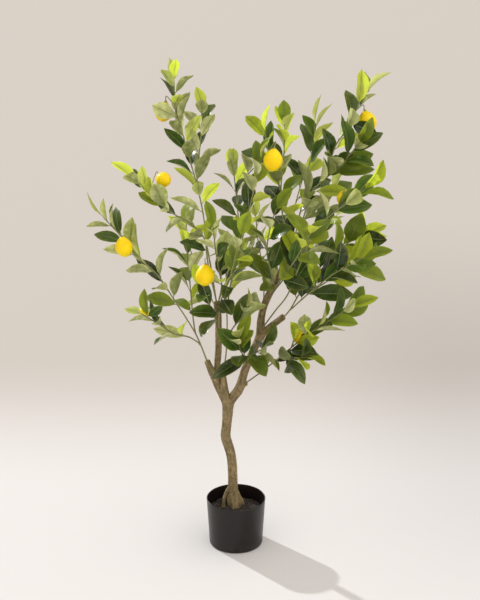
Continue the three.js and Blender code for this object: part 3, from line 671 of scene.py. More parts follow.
def nub_height(points):
    """Small rounded nubs: height · exp(-distance² / 2·(spread·size)²)."""
    spots = np.array(NUBS)
    away = ((points[:, None] - spots[None, :, :3]) ** 2).sum(-1)
    return (NUB_HEIGHT * np.exp(-away / (2 * (NUB_SPREAD * spots[:, 3]) ** 2))).sum(-1)


print("the first nub's height:", nub_height(np.array([NUBS[0][:3]])).round(2), "mm")

# %% The skin with its bark
def barked(mesh):
    """Moves the skin out and in by its bark, and keeps the height of the ridges as shade.

    The gain gives the limbs back the thickness that smoothing took.
    """
    points = read_rows(mesh.vertices, "co") / MM
    ridges = bark_height(points)
    rise = SKIN_GAIN + RIDGE_HEIGHT * ridges + nub_height(points)
    moved = points + read_rows(mesh.vertex_normals, "vector") * rise[:, None]
    mesh.vertices.foreach_set("co", (moved * MM).astype(np.float32).ravel())
    mesh.shade_smooth()
    piece = bpy.data.objects.new("trunk_bark", mesh)
    bpy.context.scene.collection.objects.link(piece)
    attribute(piece, "ridge", np.clip(0.5 + 0.5 * ridges, 0, 1))
    return piece


trunk = barked(skin)
print("trunk:", len(trunk.data.polygons), "faces")

# %% [markdown]
# The bark is olive-brown and mottled. A colour ramp turns one number into shades from dark to
# pale; that number adds the ridges' own height, kept in the mesh, to fine grain that is drawn
# out upwards and to blotches. Greener clouds and a few pale specks lie over it.

# %% Bark finish
def bark_finish():
    """Olive-brown bark, paler on the ridges and dark between them, with fine lengthwise grain."""
    f = Finish("olive_brown_bark")
    ridge = f.own("ridge")
    grain = f.cloud(1.0, 5.0, 0.65, vector=f.stretched((520, 520, 160)))
    clouds = f.cloud(24.0, 3.0)
    blotch = f.cloud(130.0, 5.0, 0.65)
    colour = f.ramp(ridge * 0.2 + grain * 0.4 + blotch * 0.4, (0.33, (0.062, 0.046, 0.018)),
                    (0.45, (0.165, 0.121, 0.052)), (0.56, (0.270, 0.194, 0.090)),
                    (0.70, (0.470, 0.350, 0.185)))
    colour = f.mix(clouds.between(0.45, 0.7) * 0.55, colour, (0.160, 0.140, 0.050))
    specks = f.cells(330.0).between(0.16, 0.08) * f.cloud(85.0, 2.0).between(0.5, 0.6)
    colour = f.mix(specks * 0.5, colour, (0.42, 0.35, 0.22))
    height = grain * 0.7 + blotch * 0.8 + ridge * 0.3 + f.cells(420.0) * 0.3
    return f.surface({"Base Color": colour, "Roughness": 0.66 + grain * 0.22,
                      "Normal": f.bump(height, 0.0012)})


dress(trunk, "trunk", "bark", bark_finish())
print("trunk dressed")

# %% [markdown]
# ## Where every leaf grows
#
# A spray is a thin stem with side stems, and its leaves turn round it by 137.5°, the angle at
# which real leaves hide each other least. The CAD model places its leaves by a rule with seeded
# draws: a leaf that would cross a limb, a lemon or another spray is turned about its stem until
# it fits. We repeat the same rule with the same draws, so that each fine leaf lies where its
# solid leaf is. All lengths of the rule are in millimetres.
#
# A stem is written as its length without leaves, its number of leaves, the direction of the
# first one in degrees, and its route. The first stem of a spray stands in the wood, and each of
# the others starts on an earlier one.

# %% Stems of the left sprays
SPRAYS = {
  "spray_far_left": [
    (190, 16, 0, [[-67, -10, 497], [-72, -12, 511], [-99, -30, 590],
      [-148, -52, 684], [-188, -66, 754], [-241, -70, 805], [-274, -62, 850], [-311, -48, 888]]),
    (55, 8, 60, [[-87, -22, 555], [-91, -26, 563], [-115, -50, 588],
      [-144, -85, 608], [-182, -120, 647], [-219, -140, 680]]),
    (55, 9, 20, [[-98, -30, 588], [-100, -28, 596],
      [-106, -10, 636], [-110, 15, 673], [-116, 40, 732], [-122, 60, 794]]),
  ],
  "spray_top_left": [
    (235, 21, 0, [[-48, 20, 640], [-48, 20, 656], [-69, 55, 745],
      [-78, 76, 847], [-92, 84, 920], [-111, 88, 994], [-130, 90, 1067], [-143, 90, 1117],
      [-147, 80, 1194]]),
    (40, 10, 40, [[-93, 84, 925], [-95, 86, 935], [-92, 100, 979],
      [-87, 118, 1025], [-82, 135, 1078], [-80, 140, 1119]]),
  ],
  "spray_left": [
    (170, 14, 0, [[-48, 13, 640], [-48, 13, 656], [-62, -30, 773],
      [-75, -56, 841], [-107, -78, 884], [-148, -96, 914], [-197, -110, 960],
      [-224, -115, 996]]),
  ],
  "spray_front_left": [
    (90, 9, 30, [[-42, 13, 640], [-42, 13, 656], [-34, -30, 714],
      [-40, -66, 764], [-47, -92, 822], [-52, -104, 880]]),
  ],
  "spray_back_top": [
    (130, 13, 0, [[-42, 20, 640], [-42, 20, 656], [-19, 62, 706],
      [5, 95, 758], [9, 112, 800], [4, 128, 862], [-2, 138, 921], [-5, 142, 961]]),
    (20, 4, 90, [[1, 133, 893], [3, 132, 902], [18, 120, 936],
      [42, 105, 968]]),
  ],
}
print("stems at the left:", sum(map(len, SPRAYS.values())))

# %% Stems of the middle and right sprays
SPRAYS |= {
  "spray_middle": [
    (190, 4, 0, [[-31, -11, 463], [-32, -13, 478], [-26, -16, 514],
      [-22, -24, 567], [-22, -38, 650], [-32, -62, 713], [-35, -84, 765]]),
    (60, 15, 50, [[-22, -37, 645], [-21, -40, 655], [-12, -55, 725],
      [7, -76, 804], [22, -95, 879], [37, -108, 949], [48, -112, 995], [56, -110, 1040]]),
    (50, 4, 0, [[-22, -25, 572], [-20, -28, 580], [-5, -45, 612],
      [12, -62, 639], [25, -80, 678]]),
    (60, 5, 70, [[-23, -42, 664], [-23, -38, 672], [-24, 0, 716],
      [-8, 36, 745], [35, 62, 769], [65, 92, 790]]),
  ],
  "spray_low_right": [
    (100, 18, 20, [[19, 8, 438], [28, 2, 447], [61, -18, 481],
      [98, -45, 524], [149, -78, 584], [193, -100, 629], [234, -115, 662], [269, -124, 692]]),
    (20, 5, 60, [[108, -51, 536], [112, -55, 538], [140, -88, 548],
      [168, -118, 562]]),
  ],
  "spray_low_front": [
    (40, 8, 0, [[35, 10, 507], [33, -2, 511], [25, -25, 525],
      [18, -50, 541], [10, -72, 566], [8, -92, 600]]),
    (30, 7, 60, [[26, -20, 521], [24, -26, 526], [42, -52, 545],
      [68, -72, 566]]),
  ],
  "spray_right": [
    (70, 15, 0, [[109, -3, 616], [119, -7, 626], [134, -2, 643],
      [163, 22, 685], [203, 50, 727], [246, 70, 766], [304, 80, 804]]),
    (50, 10, 40, [[133, -3, 641], [137, -5, 645], [180, -40, 700],
      [223, -72, 749], [265, -92, 783], [296, -104, 806]]),
    (30, 7, 0, [[181, -41, 701], [186, -42, 704], [225, -40, 730],
      [270, -35, 752], [308, -26, 768]]),
  ],
  "spray_front_right": [
    (150, 14, 0, [[65, 7, 585], [70, 3, 597], [96, -22, 645],
      [126, -48, 698], [152, -88, 786], [178, -112, 858], [212, -132, 912], [254, -146, 951],
      [291, -154, 984]]),
  ],
}
print("stems so far:", sum(map(len, SPRAYS.values())))

# %% Stems of the upper sprays
SPRAYS |= {
  "spray_top_centre": [
    (60, 15, 0, [[126, 12, 780], [132, 13, 794], [117, 30, 847],
      [109, 46, 923], [114, 58, 989], [117, 66, 1049], [117, 70, 1087]]),
    (25, 7, 80, [[109, 47, 928], [106, 45, 936], [92, 38, 982],
      [77, 28, 1033], [69, 20, 1079]]),
  ],
  "spray_top_back": [
    (60, 13, 20, [[131, 12, 778], [137, 13, 791], [152, 60, 846],
      [167, 88, 907], [178, 112, 968], [191, 126, 1030], [191, 130, 1069]]),
  ],
  "spray_top_right": [
    (75, 18, 0, [[131, 6, 778], [137, 7, 791], [159, -8, 866],
      [181, -14, 942], [213, -20, 982], [232, -26, 1053], [261, -28, 1099], [283, -26, 1150],
      [297, -22, 1177]]),
    (30, 9, 40, [[200, -18, 968], [205, -20, 973], [238, -46, 1006],
      [256, -64, 1034], [279, -80, 1069]]),
  ],
  "spray_centre": [
    (30, 8, 0, [[96, 5, 700], [94, -4, 706], [82, -45, 762],
      [74, -80, 818], [80, -104, 880], [93, -118, 927]]),
  ],
  "spray_centre_back": [
    (35, 7, 30, [[110, 4, 736], [111, 15, 742], [128, 62, 787],
      [139, 104, 838], [152, 136, 886], [167, 158, 931]]),
  ],
  "spray_centre_right": [
    (30, 8, 0, [[120, 8, 757], [131, 12, 762], [163, 26, 798],
      [196, 48, 834], [220, 62, 881], [236, 70, 924]]),
  ],
}
print("stems so far:", sum(map(len, SPRAYS.values())))

# %% Stems of the sprays that give the crown its depth
SPRAYS |= {
  "spray_back_left": [
    (50, 7, 0, [[-43, 15, 629], [-49, 24, 636], [-70, 78, 660],
      [-96, 130, 700], [-117, 172, 745], [-127, 198, 800]]),
  ],
  "spray_back": [
    (50, 8, 60, [[63, 11, 609], [64, 21, 614], [70, 76, 660],
      [66, 136, 711], [56, 184, 762], [51, 214, 812]]),
  ],
  "spray_back_right": [
    (40, 8, 0, [[75, 7, 660], [80, 15, 664], [130, 74, 708],
      [181, 128, 743], [223, 168, 778], [254, 196, 822]]),
  ],
  "spray_front": [
    (80, 7, 0, [[-44, 14, 579], [-42, 5, 584], [-38, -52, 672],
      [-15, -116, 758], [-1, -166, 826], [10, -200, 889]]),
  ],
  "spray_front_low": [
    (60, 8, 30, [[80, 7, 678], [84, -2, 684], [104, -56, 731],
      [127, -116, 786], [148, -166, 841], [168, -204, 895]]),
  ],
  "spray_side_left": [
    (20, 4, 0, [[-43, 15, 604], [-48, 8, 611], [-59, -22, 648],
      [-67, -45, 681], [-78, -66, 724]]),
  ],
}
print("sprays:", len(SPRAYS), " stems:", sum(len(stems) for stems in SPRAYS.values()))

# %% Lemons: spray, stem, distance along it, centre of the fruit, and the way its tip points
LEMONS = [
    ("spray_top_left", 0, 505, [-174, 112, 1108], [-0.2, 0.1, -0.97], 0.97),
    ("spray_left", 0, 400, [-168, -70, 987], [0.5, -0.8, -0.25], 0.8),
    ("spray_far_left", 0, 415, [-262, -92, 830], [0.2, -0.1, -0.97], 0.95),
    ("spray_front_left", 0, 205, [-72, -104, 764], [-0.05, -0.05, -1], 1.02),
    ("spray_middle", 1, 405, [85, -138, 1050], [-0.1, -0.15, -0.98], 1),
    ("spray_top_right", 0, 400, [307, -10, 1110], [0.25, -0.1, -0.95], 1),
    ("spray_front_right", 0, 445, [255, -62, 940], [0.1, 0.7, -0.7], 0.85),
    ("spray_right", 0, 250, [317, 118, 795], [0.1, 0.5, -0.85], 0.85),
    ("spray_low_right", 0, 190, [159, -40, 585], [0.2, 0.3, -0.93], 0.9),
    ("spray_far_left", 1, 140, [-220, -72, 660], [-0.3, 0.6, -0.75], 0.6),
]
print("lemons:", len(LEMONS))

# %% Leaves listed one by one in front of lemons: spray, stem, distance along it, tip, and facing
COVERS = [
    ("spray_top_left", 0, 478, [-201, 60, 1137], -1),
    ("spray_left", 0, 345, [-189, -130, 999], -1),
    ("spray_top_right", 0, 365, [323, -62, 1095], 1),
    ("spray_front_right", 0, 415, [284, -130, 982], 1),
    ("spray_right", 0, 285, [362, 20, 812], 1),
    ("spray_right", 0, 258, [304, 20, 873], 1),
    ("spray_low_right", 0, 240, [162, -100, 668], -1),
    ("spray_low_right", 0, 210, [196, -112, 609], 1),
    ("spray_far_left", 1, 205, [-171, -125, 693], 1),
]
print("leaves set by hand:", len(COVERS))

# %% How much more a spray's leaves turn their upper faces to the viewer; below zero, undersides
SHOWN = {
    "spray_top_left": -0.6, "spray_far_left": -0.4, "spray_left": -0.3,
    "spray_back_top": -0.3, "spray_right": 1.1, "spray_front_right": 0.8,
    "spray_low_right": 0.6, "spray_low_front": 0.7, "spray_top_back": 0.5,
    "spray_centre_right": 0.9, "spray_centre": 0.5, "spray_front_low": 0.6,
}
print("sprays that show undersides:", sorted(name for name, more in SHOWN.items() if more < 0))

# %% Sprays whose leaves are longer and wider than the common leaf, or slimmer
LEAF_SCALE = {
    "spray_top_left": (1, 0.86), "spray_far_left": (1.06, 0.88), "spray_left": (1.06, 0.9),
    "spray_right": (1.24, 1.2), "spray_front_right": (1.18, 1.18), "spray_top_right": (1.15, 1.15),
    "spray_low_right": (1.1, 1.05), "spray_low_front": (1.2, 1.15),
    "spray_centre_right": (1.2, 1.2), "spray_top_back": (1.15, 1.1),
}
print("longest leaves:", max(longer for longer, _ in LEAF_SCALE.values()), "times the common one")

# %% The rule's numbers: sizes, angles in degrees, and the ends between which it draws
LEAF_LENGTH = 81
LEAF_WIDTH = 43
LEAF_PETIOLE = 0.1
LEMON_LENGTH = 52
STALK_STRAIGHT = 14
CALYX_HEIGHT = 3

LEAF_TURN = 137.5
TURN_SPREAD = (-18, 18)
CROWDING = 1.2
OPENING, CLOSING, TIP_OPENING = (32, 56), 16, 12
SHRINKING = 0.2
LENGTH_SPREAD, WIDTH_SPREAD = (0.82, 1.16), (0.86, 1.12)
LEAST_FACING = 0.4
COVER_WIDTH, COVER_BEND, COVER_FOLD, COVER_YOUTH = 0.52, 0.2, 12, 0.3
BEND, FOLD, FACING = (0.1, 0.55), (10, 30), (-1.1, 1.1)
VIEWER = np.array([0, -1, 0.2])
FIRST_SEED, SEED_STEP = 1000, 37

TURNS_TO_TRY = (0, 24, -24, 48, -48, 72, -72, 100, -100, 130, -130, 180)
SIZES_TO_TRY = (1, 0.8)
CLEARANCE = 3.5
LEAF_REACH, STEM_REACH, LEMON_REACH = 2.5, 3, 22.5
MARK_STEP, WOOD_STEPS = 6, 4
LEMON_MARKS = (-6, 0, 6)
SAMPLE_SHARE = np.repeat(np.arange(2, 11) / 10, 7)
SAMPLE_ACROSS = np.tile(np.arange(-3, 4) / 3, 9)

lines = {name: [np.array(stem[3], float) for stem in stems] for name, stems in SPRAYS.items()}
lengths = [reach_of(line)[-1] for stems in lines.values() for line in stems]
print("stems are", round(min(lengths)), "to", round(max(lengths)), "mm long")

# %% One leaf's middle surface
def solid_outline(share):
    """Half the solid leaf's width, as a share of the greatest: sin(π · b^0.9)^0.8, where b runs
    from 0 at the blade's foot to 1 at its tip."""
    blade = np.clip((share - LEAF_PETIOLE) / (1 - LEAF_PETIOLE), 0, 1)
    return np.clip(np.sin(math.pi * blade**0.9), 0, None) ** 0.8


def leaf_points(leaf, share, half):
    """Points of a leaf's middle surface.

    Along the leaf the midrib is an arc that bends away from the upper face. The two halves of the
    blade rise from it by the fold: half · cos(fold) sideways, |half| · sin(fold) up.
    """
    turn = leaf["bend"] * share
    upper = leaf["upper"] * np.cos(turn)[..., None] + leaf["along"] * np.sin(turn)[..., None]
    out = leaf["length"] * np.sin(turn) / leaf["bend"]
    down = leaf["length"] * (1 - np.cos(turn)) / leaf["bend"]
    return (leaf["root"] + leaf["along"] * out[..., None] - leaf["upper"] * down[..., None]
            + leaf["side"] * (half * np.cos(leaf["fold"]))[..., None]
            + upper * (np.abs(half) * np.sin(leaf["fold"]))[..., None])


print("half the solid blade at its middle:", solid_outline(np.array([0.5])).round(3))

# %% Where a leaf starts, where it points and which way it faces
def sample_points(leaf):
    """63 points spread over the blade, by which the rule tells whether it crosses anything."""
    half = 0.5 * leaf["width"] * solid_outline(SAMPLE_SHARE) * SAMPLE_ACROSS
    return leaf_points(leaf, SAMPLE_SHARE, half)


def frame_leaf(line, at, twist, shape, size):
    """A leaf's frame from where it grows, its direction round the stem and how far it opens."""
    point, along, _, _ = (part[0] for part in locate(line, at))
    side = unit(np.cross(along, ACROSS_Y))
    outward = side * math.cos(twist) + np.cross(side, along) * math.sin(twist)
    heading = along * math.cos(shape["open"]) + outward * math.sin(shape["open"])
    upper = along * math.sin(shape["open"]) - outward * math.cos(shape["open"])
    upper = square_to(upper + VIEWER * shape["facing"], heading)
    return {"root": point, "along": heading, "upper": upper, "side": np.cross(upper, heading),
            "length": shape["length"] * size, "width": shape["width"] * size,
            "bend": shape["bend"], "fold": shape["fold"], "at": at}


def cover_leaf(cover):
    """A listed leaf: it reaches from its stem towards a point and faces the viewer, or
    turns its back to them."""
    spray, stem, along, tip, facing = cover
    root = locate(lines[spray][stem], along)[0][0]
    length = np.linalg.norm(tip - root)
    heading = (tip - root) / length
    upper = square_to(VIEWER * facing, heading)
    return {"root": root, "along": heading, "upper": upper, "side": np.cross(upper, heading),
            "length": length, "width": COVER_WIDTH * length, "bend": COVER_BEND,
            "fold": math.radians(COVER_FOLD), "at": along, "young": COVER_YOUTH}


print("lengths of the leaves set by hand:", [round(cover_leaf(c)["length"]) for c in COVERS])

# %% What a leaf keeps clear of
class Marks:
    """Points with a reach each, and the number of the spray that they belong to."""

    def __init__(self):
        self.points, self.reach, self.owner = np.empty((0, 3)), np.empty(0), np.empty(0, int)

    def add(self, points, reach, owner):
        self.points = np.vstack([self.points, points])
        self.reach = np.concatenate([self.reach, np.broadcast_to(reach, len(points))])
        self.owner = np.concatenate([self.owner, np.full(len(points), owner)])

    def allow(self, leaf, owner):
        """True where no sample point of the leaf is too near a mark."""
        own = self.owner == owner
        limit = CLEARANCE + np.where(own, 0, self.reach)
        middle = leaf_points(leaf, np.array([0.5]), np.zeros(1))[0]
        away = np.linalg.norm(self.points - middle, axis=1)
        counts = (~own | (self.reach == LEAF_REACH)) & (away <= leaf["length"] + limit)
        points = sample_points(leaf)
        gaps = np.linalg.norm(points[:, None] - self.points[counts], axis=-1)
        return bool((gaps >= limit[counts]).all())


print("a marks object can:", [name for name in vars(Marks) if not name.startswith("_")])

# %% Stalks, and what is marked before the leaves
def stalk_points(lemon):
    """Where a lemon's stalk starts, where it turns, its collar, and its end at the fruit."""
    spray, stem, along, centre, direction, size = lemon
    axis = unit(np.array(direction, float))
    seat = centre - axis * LEMON_LENGTH * size / 2
    top = seat - axis * GAP
    start = locate(lines[spray][stem], along)[0][0]
    return np.array([start, top - axis * STALK_STRAIGHT, top - axis * CALYX_HEIGHT, top])


def mark_line(marks, line, owner):
    """Marks every few millimetres along a stem or stalk."""
    at = np.arange(0, reach_of(line)[-1] + 1e-9, MARK_STEP)
    marks.add(locate(line, at)[0], STEM_REACH, owner)


def first_marks():
    """Limbs, stems, lemons and stalks, before any leaf is placed."""
    marks, names = Marks(), list(SPRAYS)
    for route in WOOD.values():
        path = curve(route, WOOD_STEPS)
        marks.add(path[:, :3], path[:, 3], -1)
    for name, stems in lines.items():
        for line in stems:
            mark_line(marks, line, names.index(name))
    for lemon in LEMONS:
        spray, _, _, centre, direction, size = lemon
        middles = centre + np.outer(LEMON_MARKS, unit(np.array(direction, float))) * size
        marks.add(middles, LEMON_REACH * size, -2)
        mark_line(marks, stalk_points(lemon), names.index(spray))
    for cover in COVERS:
        marks.add(sample_points(cover_leaf(cover)), LEAF_REACH, names.index(cover[0]))
    return marks


print("marks before the leaves:", len(first_marks().points))

# %% Place the leaves
def draws(seed):
    """Seeded draws: each state is 1664525 · state + 1013904223, modulo 2 to the power of 32."""
    state = seed

    def draw(ends):
        nonlocal state
        state = (1664525 * state + 1013904223) % 4294967296
        return ends[0] + (ends[1] - ends[0]) * state / 4294967296

    return draw


def leaves_of(name, stem, line, owner, marks, draw):
    """The leaves of one stem that find a place, from its bare part to its tip."""
    bare, count, first_turn, _ = stem
    longer, wider = LEAF_SCALE.get(name, (1, 1))
    run = reach_of(line)[-1] - bare
    found = []
    for k in range(count):
        share, last = k / (count - 1), k == count - 1
        young = 1 - SHRINKING * share
        opening = math.radians(TIP_OPENING if last else draw(OPENING) - CLOSING * share)
        facing = draw(FACING) + SHOWN.get(name, 0)
        shape = {"open": opening, "facing": facing + math.copysign(LEAST_FACING, facing),
                 "length": LEAF_LENGTH * longer * young * draw(LENGTH_SPREAD),
                 "width": LEAF_WIDTH * wider * young * draw(WIDTH_SPREAD),
                 "bend": draw(BEND), "fold": math.radians(draw(FOLD))}
        twist = first_turn + LEAF_TURN * k + draw(TURN_SPREAD)
        at = bare + (run - 1) * (1 - (1 - share) ** CROWDING)
        for size, turn in ((s, t) for s in SIZES_TO_TRY for t in TURNS_TO_TRY):
            leaf = frame_leaf(line, at, math.radians(twist + turn), shape, size)
            if marks.allow(leaf, owner):
                found.append({**leaf, "young": share})
                marks.add(sample_points(leaf), LEAF_REACH, owner)
                break
    return found


def place_leaves():
    """All leaves by spray and stem."""
    marks, placed = first_marks(), {}
    for owner, (name, stems) in enumerate(SPRAYS.items()):
        draw = draws(FIRST_SEED + SEED_STEP * owner)
        placed[name] = [leaves_of(name, stem, line, owner, marks, draw)
                        for stem, line in zip(stems, lines[name])]
    for cover in COVERS:
        placed[cover[0]][cover[1]].append(cover_leaf(cover))
    return placed


placed = place_leaves()
print("leaves:", sum(len(stem) for stems in placed.values() for stem in stems))

# %% Check the places against the CAD
def farthest_tip(name):
    """The greatest distance from a leaf's tip to the nearest corner of the spray's solid."""
    solid = read_rows(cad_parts[name].data.vertices, "co") / MM
    tips = np.array([leaf_points(leaf, np.array([1.0]), np.zeros(1))[0]
                     for stem in placed[name] for leaf in stem])
    return np.linalg.norm(tips[:, None] - solid, axis=-1).min(axis=1).max()


print("leaf tips are off by at most", round(max(map(farthest_tip, SPRAYS)), 4), "mm")

# %% [markdown]
# ## The leaves
#
# A leaf is a thin shell: a round stalk that widens into a blade with a crease along its midrib.
# It could be a flat card with a picture of a leaf, but a card has no fold, no cup and no edge.
# There are hundreds of leaves, so each has only about ninety faces: ten rings of eight points,
# closed by a fan at the foot and at the tip. In a ring, two points lie on the margins, three on
# the upper face and three on the lower one. The edge is marked sharp, so the two faces shade
# apart, and the veins are left to the material.

# %% Leaf shape
RING_SHARE = np.array([0.0, 0.09, 0.13, 0.20, 0.32, 0.47, 0.62, 0.76, 0.87, 0.95])
RING_ACROSS = np.array([1.0, 0.52, 0.0, -0.52, -1.0, -0.52, 0.0, 0.52])
RING_LEVEL = np.array([0.0, 1.0, 1.0, 1.0, 0.0, -1.0, -1.0, -1.0])
LEAF_SIDES = 8
PETIOLE_RADIUS, PETIOLE_LEVEL = 1.0, 0.9
BLADE_THICKNESS = 0.55
FOLD_GAIN = 1.4
WAVE_HEIGHT = 1.3
CUP_DEPTH = 0.11
LEAF_TWIST = 0.14


def fine_outline(share):
    """Half the width as a share of the greatest: rounder than the solid's, with a short point."""
    blade = np.clip((share - LEAF_PETIOLE) / (1 - LEAF_PETIOLE), 0, 1)
    full = np.clip(np.sin(math.pi * blade**0.94), 0, None) ** 0.80
    return full * (1 - 0.20 * np.clip((blade - 0.7) / 0.3, 0, 1) ** 2)


print("half the fine blade at its middle:", fine_outline(np.array([0.5])).round(3))

# %% All leaves of a stem at once
def stacked(leaves, rng):
    """The leaves' frames as arrays, with axes for ring and point added, and their own draws.

    With a draw from 0 to 1 each, and the place along the stem as its youth, the tone is
    0.8 · draw + 0.4 · youth - 0.05 and the thinness draw^3.2 + 0.5 · youth^6, within 0 and 1.
    """
    keys = ("root", "along", "upper", "side", "length", "width", "bend", "fold", "young")
    leaf = {k: np.array([x[k] for x in leaves])[:, None, None] for k in keys}
    count = (len(leaves), 1, 1)
    leaf["phase"] = rng.uniform(0, 2 * math.pi, count)
    leaf["wave"] = rng.uniform(0.4, 1.0, count) * WAVE_HEIGHT
    leaf["twist"] = rng.uniform(-1, 1, count) * LEAF_TWIST
    leaf["tone"] = np.clip(0.8 * rng.uniform(0, 1, count) + 0.4 * leaf["young"] - 0.05, 0, 1)
    leaf["thin"] = np.clip(rng.uniform(0, 1, count) ** 3.2 + 0.5 * leaf["young"] ** 6, 0, 1)
    return leaf


def blade_rings(leaf):
    """Rings of points of all leaves of a stem at once.

    The middle surface is the solid leaf's, folded up to 1.4 times as much. To it come the
    thickness, even over the face and nothing at the margins; a cup, |c| - c², that arches each
    half; a wave along the margins, sin(7s + phase) · c²; and a slight twist towards the tip.
    Here s runs along the leaf and c across it, from -1 to 1.
    """
    share, across = RING_SHARE[None, :, None], RING_ACROSS[None, None, :]
    blade = fine_outline(share)
    half = np.maximum(0.5 * leaf["width"] * blade, PETIOLE_RADIUS * (1 - 0.2 * share)) * across
    fold = FOLD_GAIN * leaf["fold"] * blade
    middle = leaf_points({**leaf, "fold": fold}, share + 0 * half, half)
    turn = leaf["bend"] * share
    upper = leaf["upper"] * np.cos(turn)[..., None] + leaf["along"] * np.sin(turn)[..., None]
    thick = np.where(share < LEAF_PETIOLE, PETIOLE_LEVEL, BLADE_THICKNESS / 2)
    level = thick * RING_LEVEL
    cup = CUP_DEPTH * leaf["width"] * blade * (np.abs(across) - across**2)
    wave = leaf["wave"] * blade * across**2 * np.sin(7 * share + leaf["phase"] * np.sign(across))
    sway = leaf["twist"] * share * half
    return middle + upper * (level + cup + wave + sway)[..., None]


print("points of a leaf:", len(RING_SHARE) * LEAF_SIDES + 2)

# %% Faces of the leaves and what their material reads
def leaf_faces(count):
    """Faces of many leaves: quads between rings, a fan at the foot and one at the tip.

    A quad is split from its first corner when it is drawn. Those of the lower face start one
    corner later, so that both faces are split alike and never cross.
    """
    rings = len(RING_SHARE)
    per_leaf = rings * LEAF_SIDES + 2
    first = (np.arange(count) * per_leaf)[:, None, None]
    last = np.arange(LEAF_SIDES) + (rings - 1) * LEAF_SIDES
    foot, tip = rings * LEAF_SIDES, rings * LEAF_SIDES + 1
    fans = np.vstack([fan_faces(np.arange(LEAF_SIDES), foot, False), fan_faces(last, tip, True)])
    quads = grid_faces(rings, LEAF_SIDES)
    lower = np.arange(len(quads)) % LEAF_SIDES >= LEAF_SIDES // 2
    quads[lower] = np.roll(quads[lower], 1, axis=1)
    return (quads + first).reshape(-1, 4), (fans + first).reshape(-1, 3)


def leaf_mesh(leaves, rng):
    """Points, faces and the numbers that the material reads, for the leaves of one stem."""
    leaf, count = stacked(leaves, rng), len(leaves)
    ends = np.array([[[0.0], [1.0]]]) + 0 * leaf["bend"]
    tips = leaf_points(leaf, ends, 0 * ends)
    points = np.concatenate([blade_rings(leaf).reshape(count, -1, 3),
                             tips.reshape(count, 2, 3)], axis=1)
    share = np.concatenate([np.repeat(RING_SHARE, LEAF_SIDES), [0.0, 1.0]])
    across = np.concatenate([np.tile(RING_ACROSS, len(RING_SHARE)), [0.0, 0.0]])
    per_point = {"share": np.tile(share, count), "across": np.tile(across, count),
                 **{k: np.repeat(leaf[k].ravel(), points.shape[1]) for k in ("tone", "thin")}}
    return points.reshape(-1, 3), leaf_faces(count), per_point


print("faces of one leaf:", sum(len(part) for part in leaf_faces(1)))

# %% [markdown]
# ## Stems, stalks and calyces
#
# The stems are about 3 mm thick, thinner to the tip, with a small swelling where each leaf
# grows. A bevelled curve object would be the usual way to a stem, but it can't swell at chosen
# places, so they are tubes again, with stations a few millimetres apart. A lemon hangs by a
# stalk that ends in a small green calyx with five points.

# %% Stem shape
STEM_SIDES = 8
STEM_BASE, STEM_TIP = 2.0, 1.25
STATION_STEP = 3.0
CURVE_STEPS = 16
SWELLING, SWELLING_REACH = 0.38, 2.4
UNEVENNESS, UNEVEN_LENGTH, UNEVEN_SEED = 0.12, 7, 7
LEAST_STATIONS = 8


def stem_tube(route, stations):
    """A stem along the smooth curve of its route, swollen at the given distances.

    Its radius runs evenly from base to tip. To it come 0.38 · exp(-(distance / 2.4)²) near each
    leaf and a slow noise, so that no stretch is quite even.
    """
    path = curve(route, CURVE_STEPS, True)
    reach = reach_of(path)[-1]
    at = np.linspace(0, reach, max(LEAST_STATIONS, int(reach / STATION_STEP)))
    share = at / at[-1]
    near = np.exp(-((at[:, None] - np.asarray(stations)) / SWELLING_REACH) ** 2).sum(-1)
    radius = STEM_BASE + (STEM_TIP - STEM_BASE) * share + SWELLING * np.clip(near, 0, 1)
    spots = np.stack([at / UNEVEN_LENGTH, at * 0, at * 0 + route[0][0]], -1)
    radius = radius + UNEVENNESS * noise(spots, UNEVEN_SEED)
    return closed_tube(rings_along(locate(path, at)[0], radius, STEM_SIDES))


def on_curve(route, line, leaf):
    """How far the smooth stem lies from the plain polyline at the place of a leaf."""
    there, _, k, share = (part[0] for part in locate(line, leaf["at"]))
    if k == 0:
        return np.zeros(3)
    fine = curve(route, CURVE_STEPS, True)
    station = 1 + (k - 1 + share) * CURVE_STEPS
    low = int(min(station, len(fine) - 2))
    return fine[low] + (fine[low + 1] - fine[low]) * (station - low) - there


print("points of the first stem:", len(stem_tube(SPRAYS["spray_far_left"][0][3], [200])[0]))

# %% Stalk and calyx shape
STALK_RADIUS = 1.15
STALK_STEPS = 6
CALYX_PROFILE = [(1.3, -1.2), (1.7, 0.4), (2.6, 1.5), (4.6, 2.5), (4.4, 3.0), (2.0, 3.2)]
CALYX_SIDES, CALYX_POINTS, POINT_DEPTH = 20, 5, 0.18


def stalk_tube(lemon):
    """A lemon's stalk: a smooth curve from stem to calyx, a little thicker at both ends."""
    start, lead, collar, top = stalk_points(lemon)
    path = curve([start, lead, collar, (collar + top) / 2], STALK_STEPS)
    share = np.linspace(0, 1, len(path))
    radius = STALK_RADIUS * (1 + 0.5 * np.abs(2 * share - 1) ** 4)
    return closed_tube(rings_along(path, radius, STEM_SIDES))


def calyx_tube(lemon):
    """The green star between stalk and fruit: a turned cup whose edge has five points."""
    _, _, collar, top = stalk_points(lemon)
    rings = turned(np.array(CALYX_PROFILE), CALYX_SIDES, CALYX_POINTS, POINT_DEPTH)
    return closed_tube(collar + rings @ rows_for(unit(top - collar)))


print("points of a stalk:", len(stalk_tube(LEMONS[0])[0]))

# %% [markdown]
# A spray has many small parts: stems, leaves, stalks and calyces. Each could be an object of its
# own, but the CAD model has one node for each spray, so its parts are joined in one mesh. Every
# face says which of three materials it has, and every point carries the shade of its leaf.

# %% Which material each face of a leaf gets
TOP, UNDER, STEM = 0, 1, 2


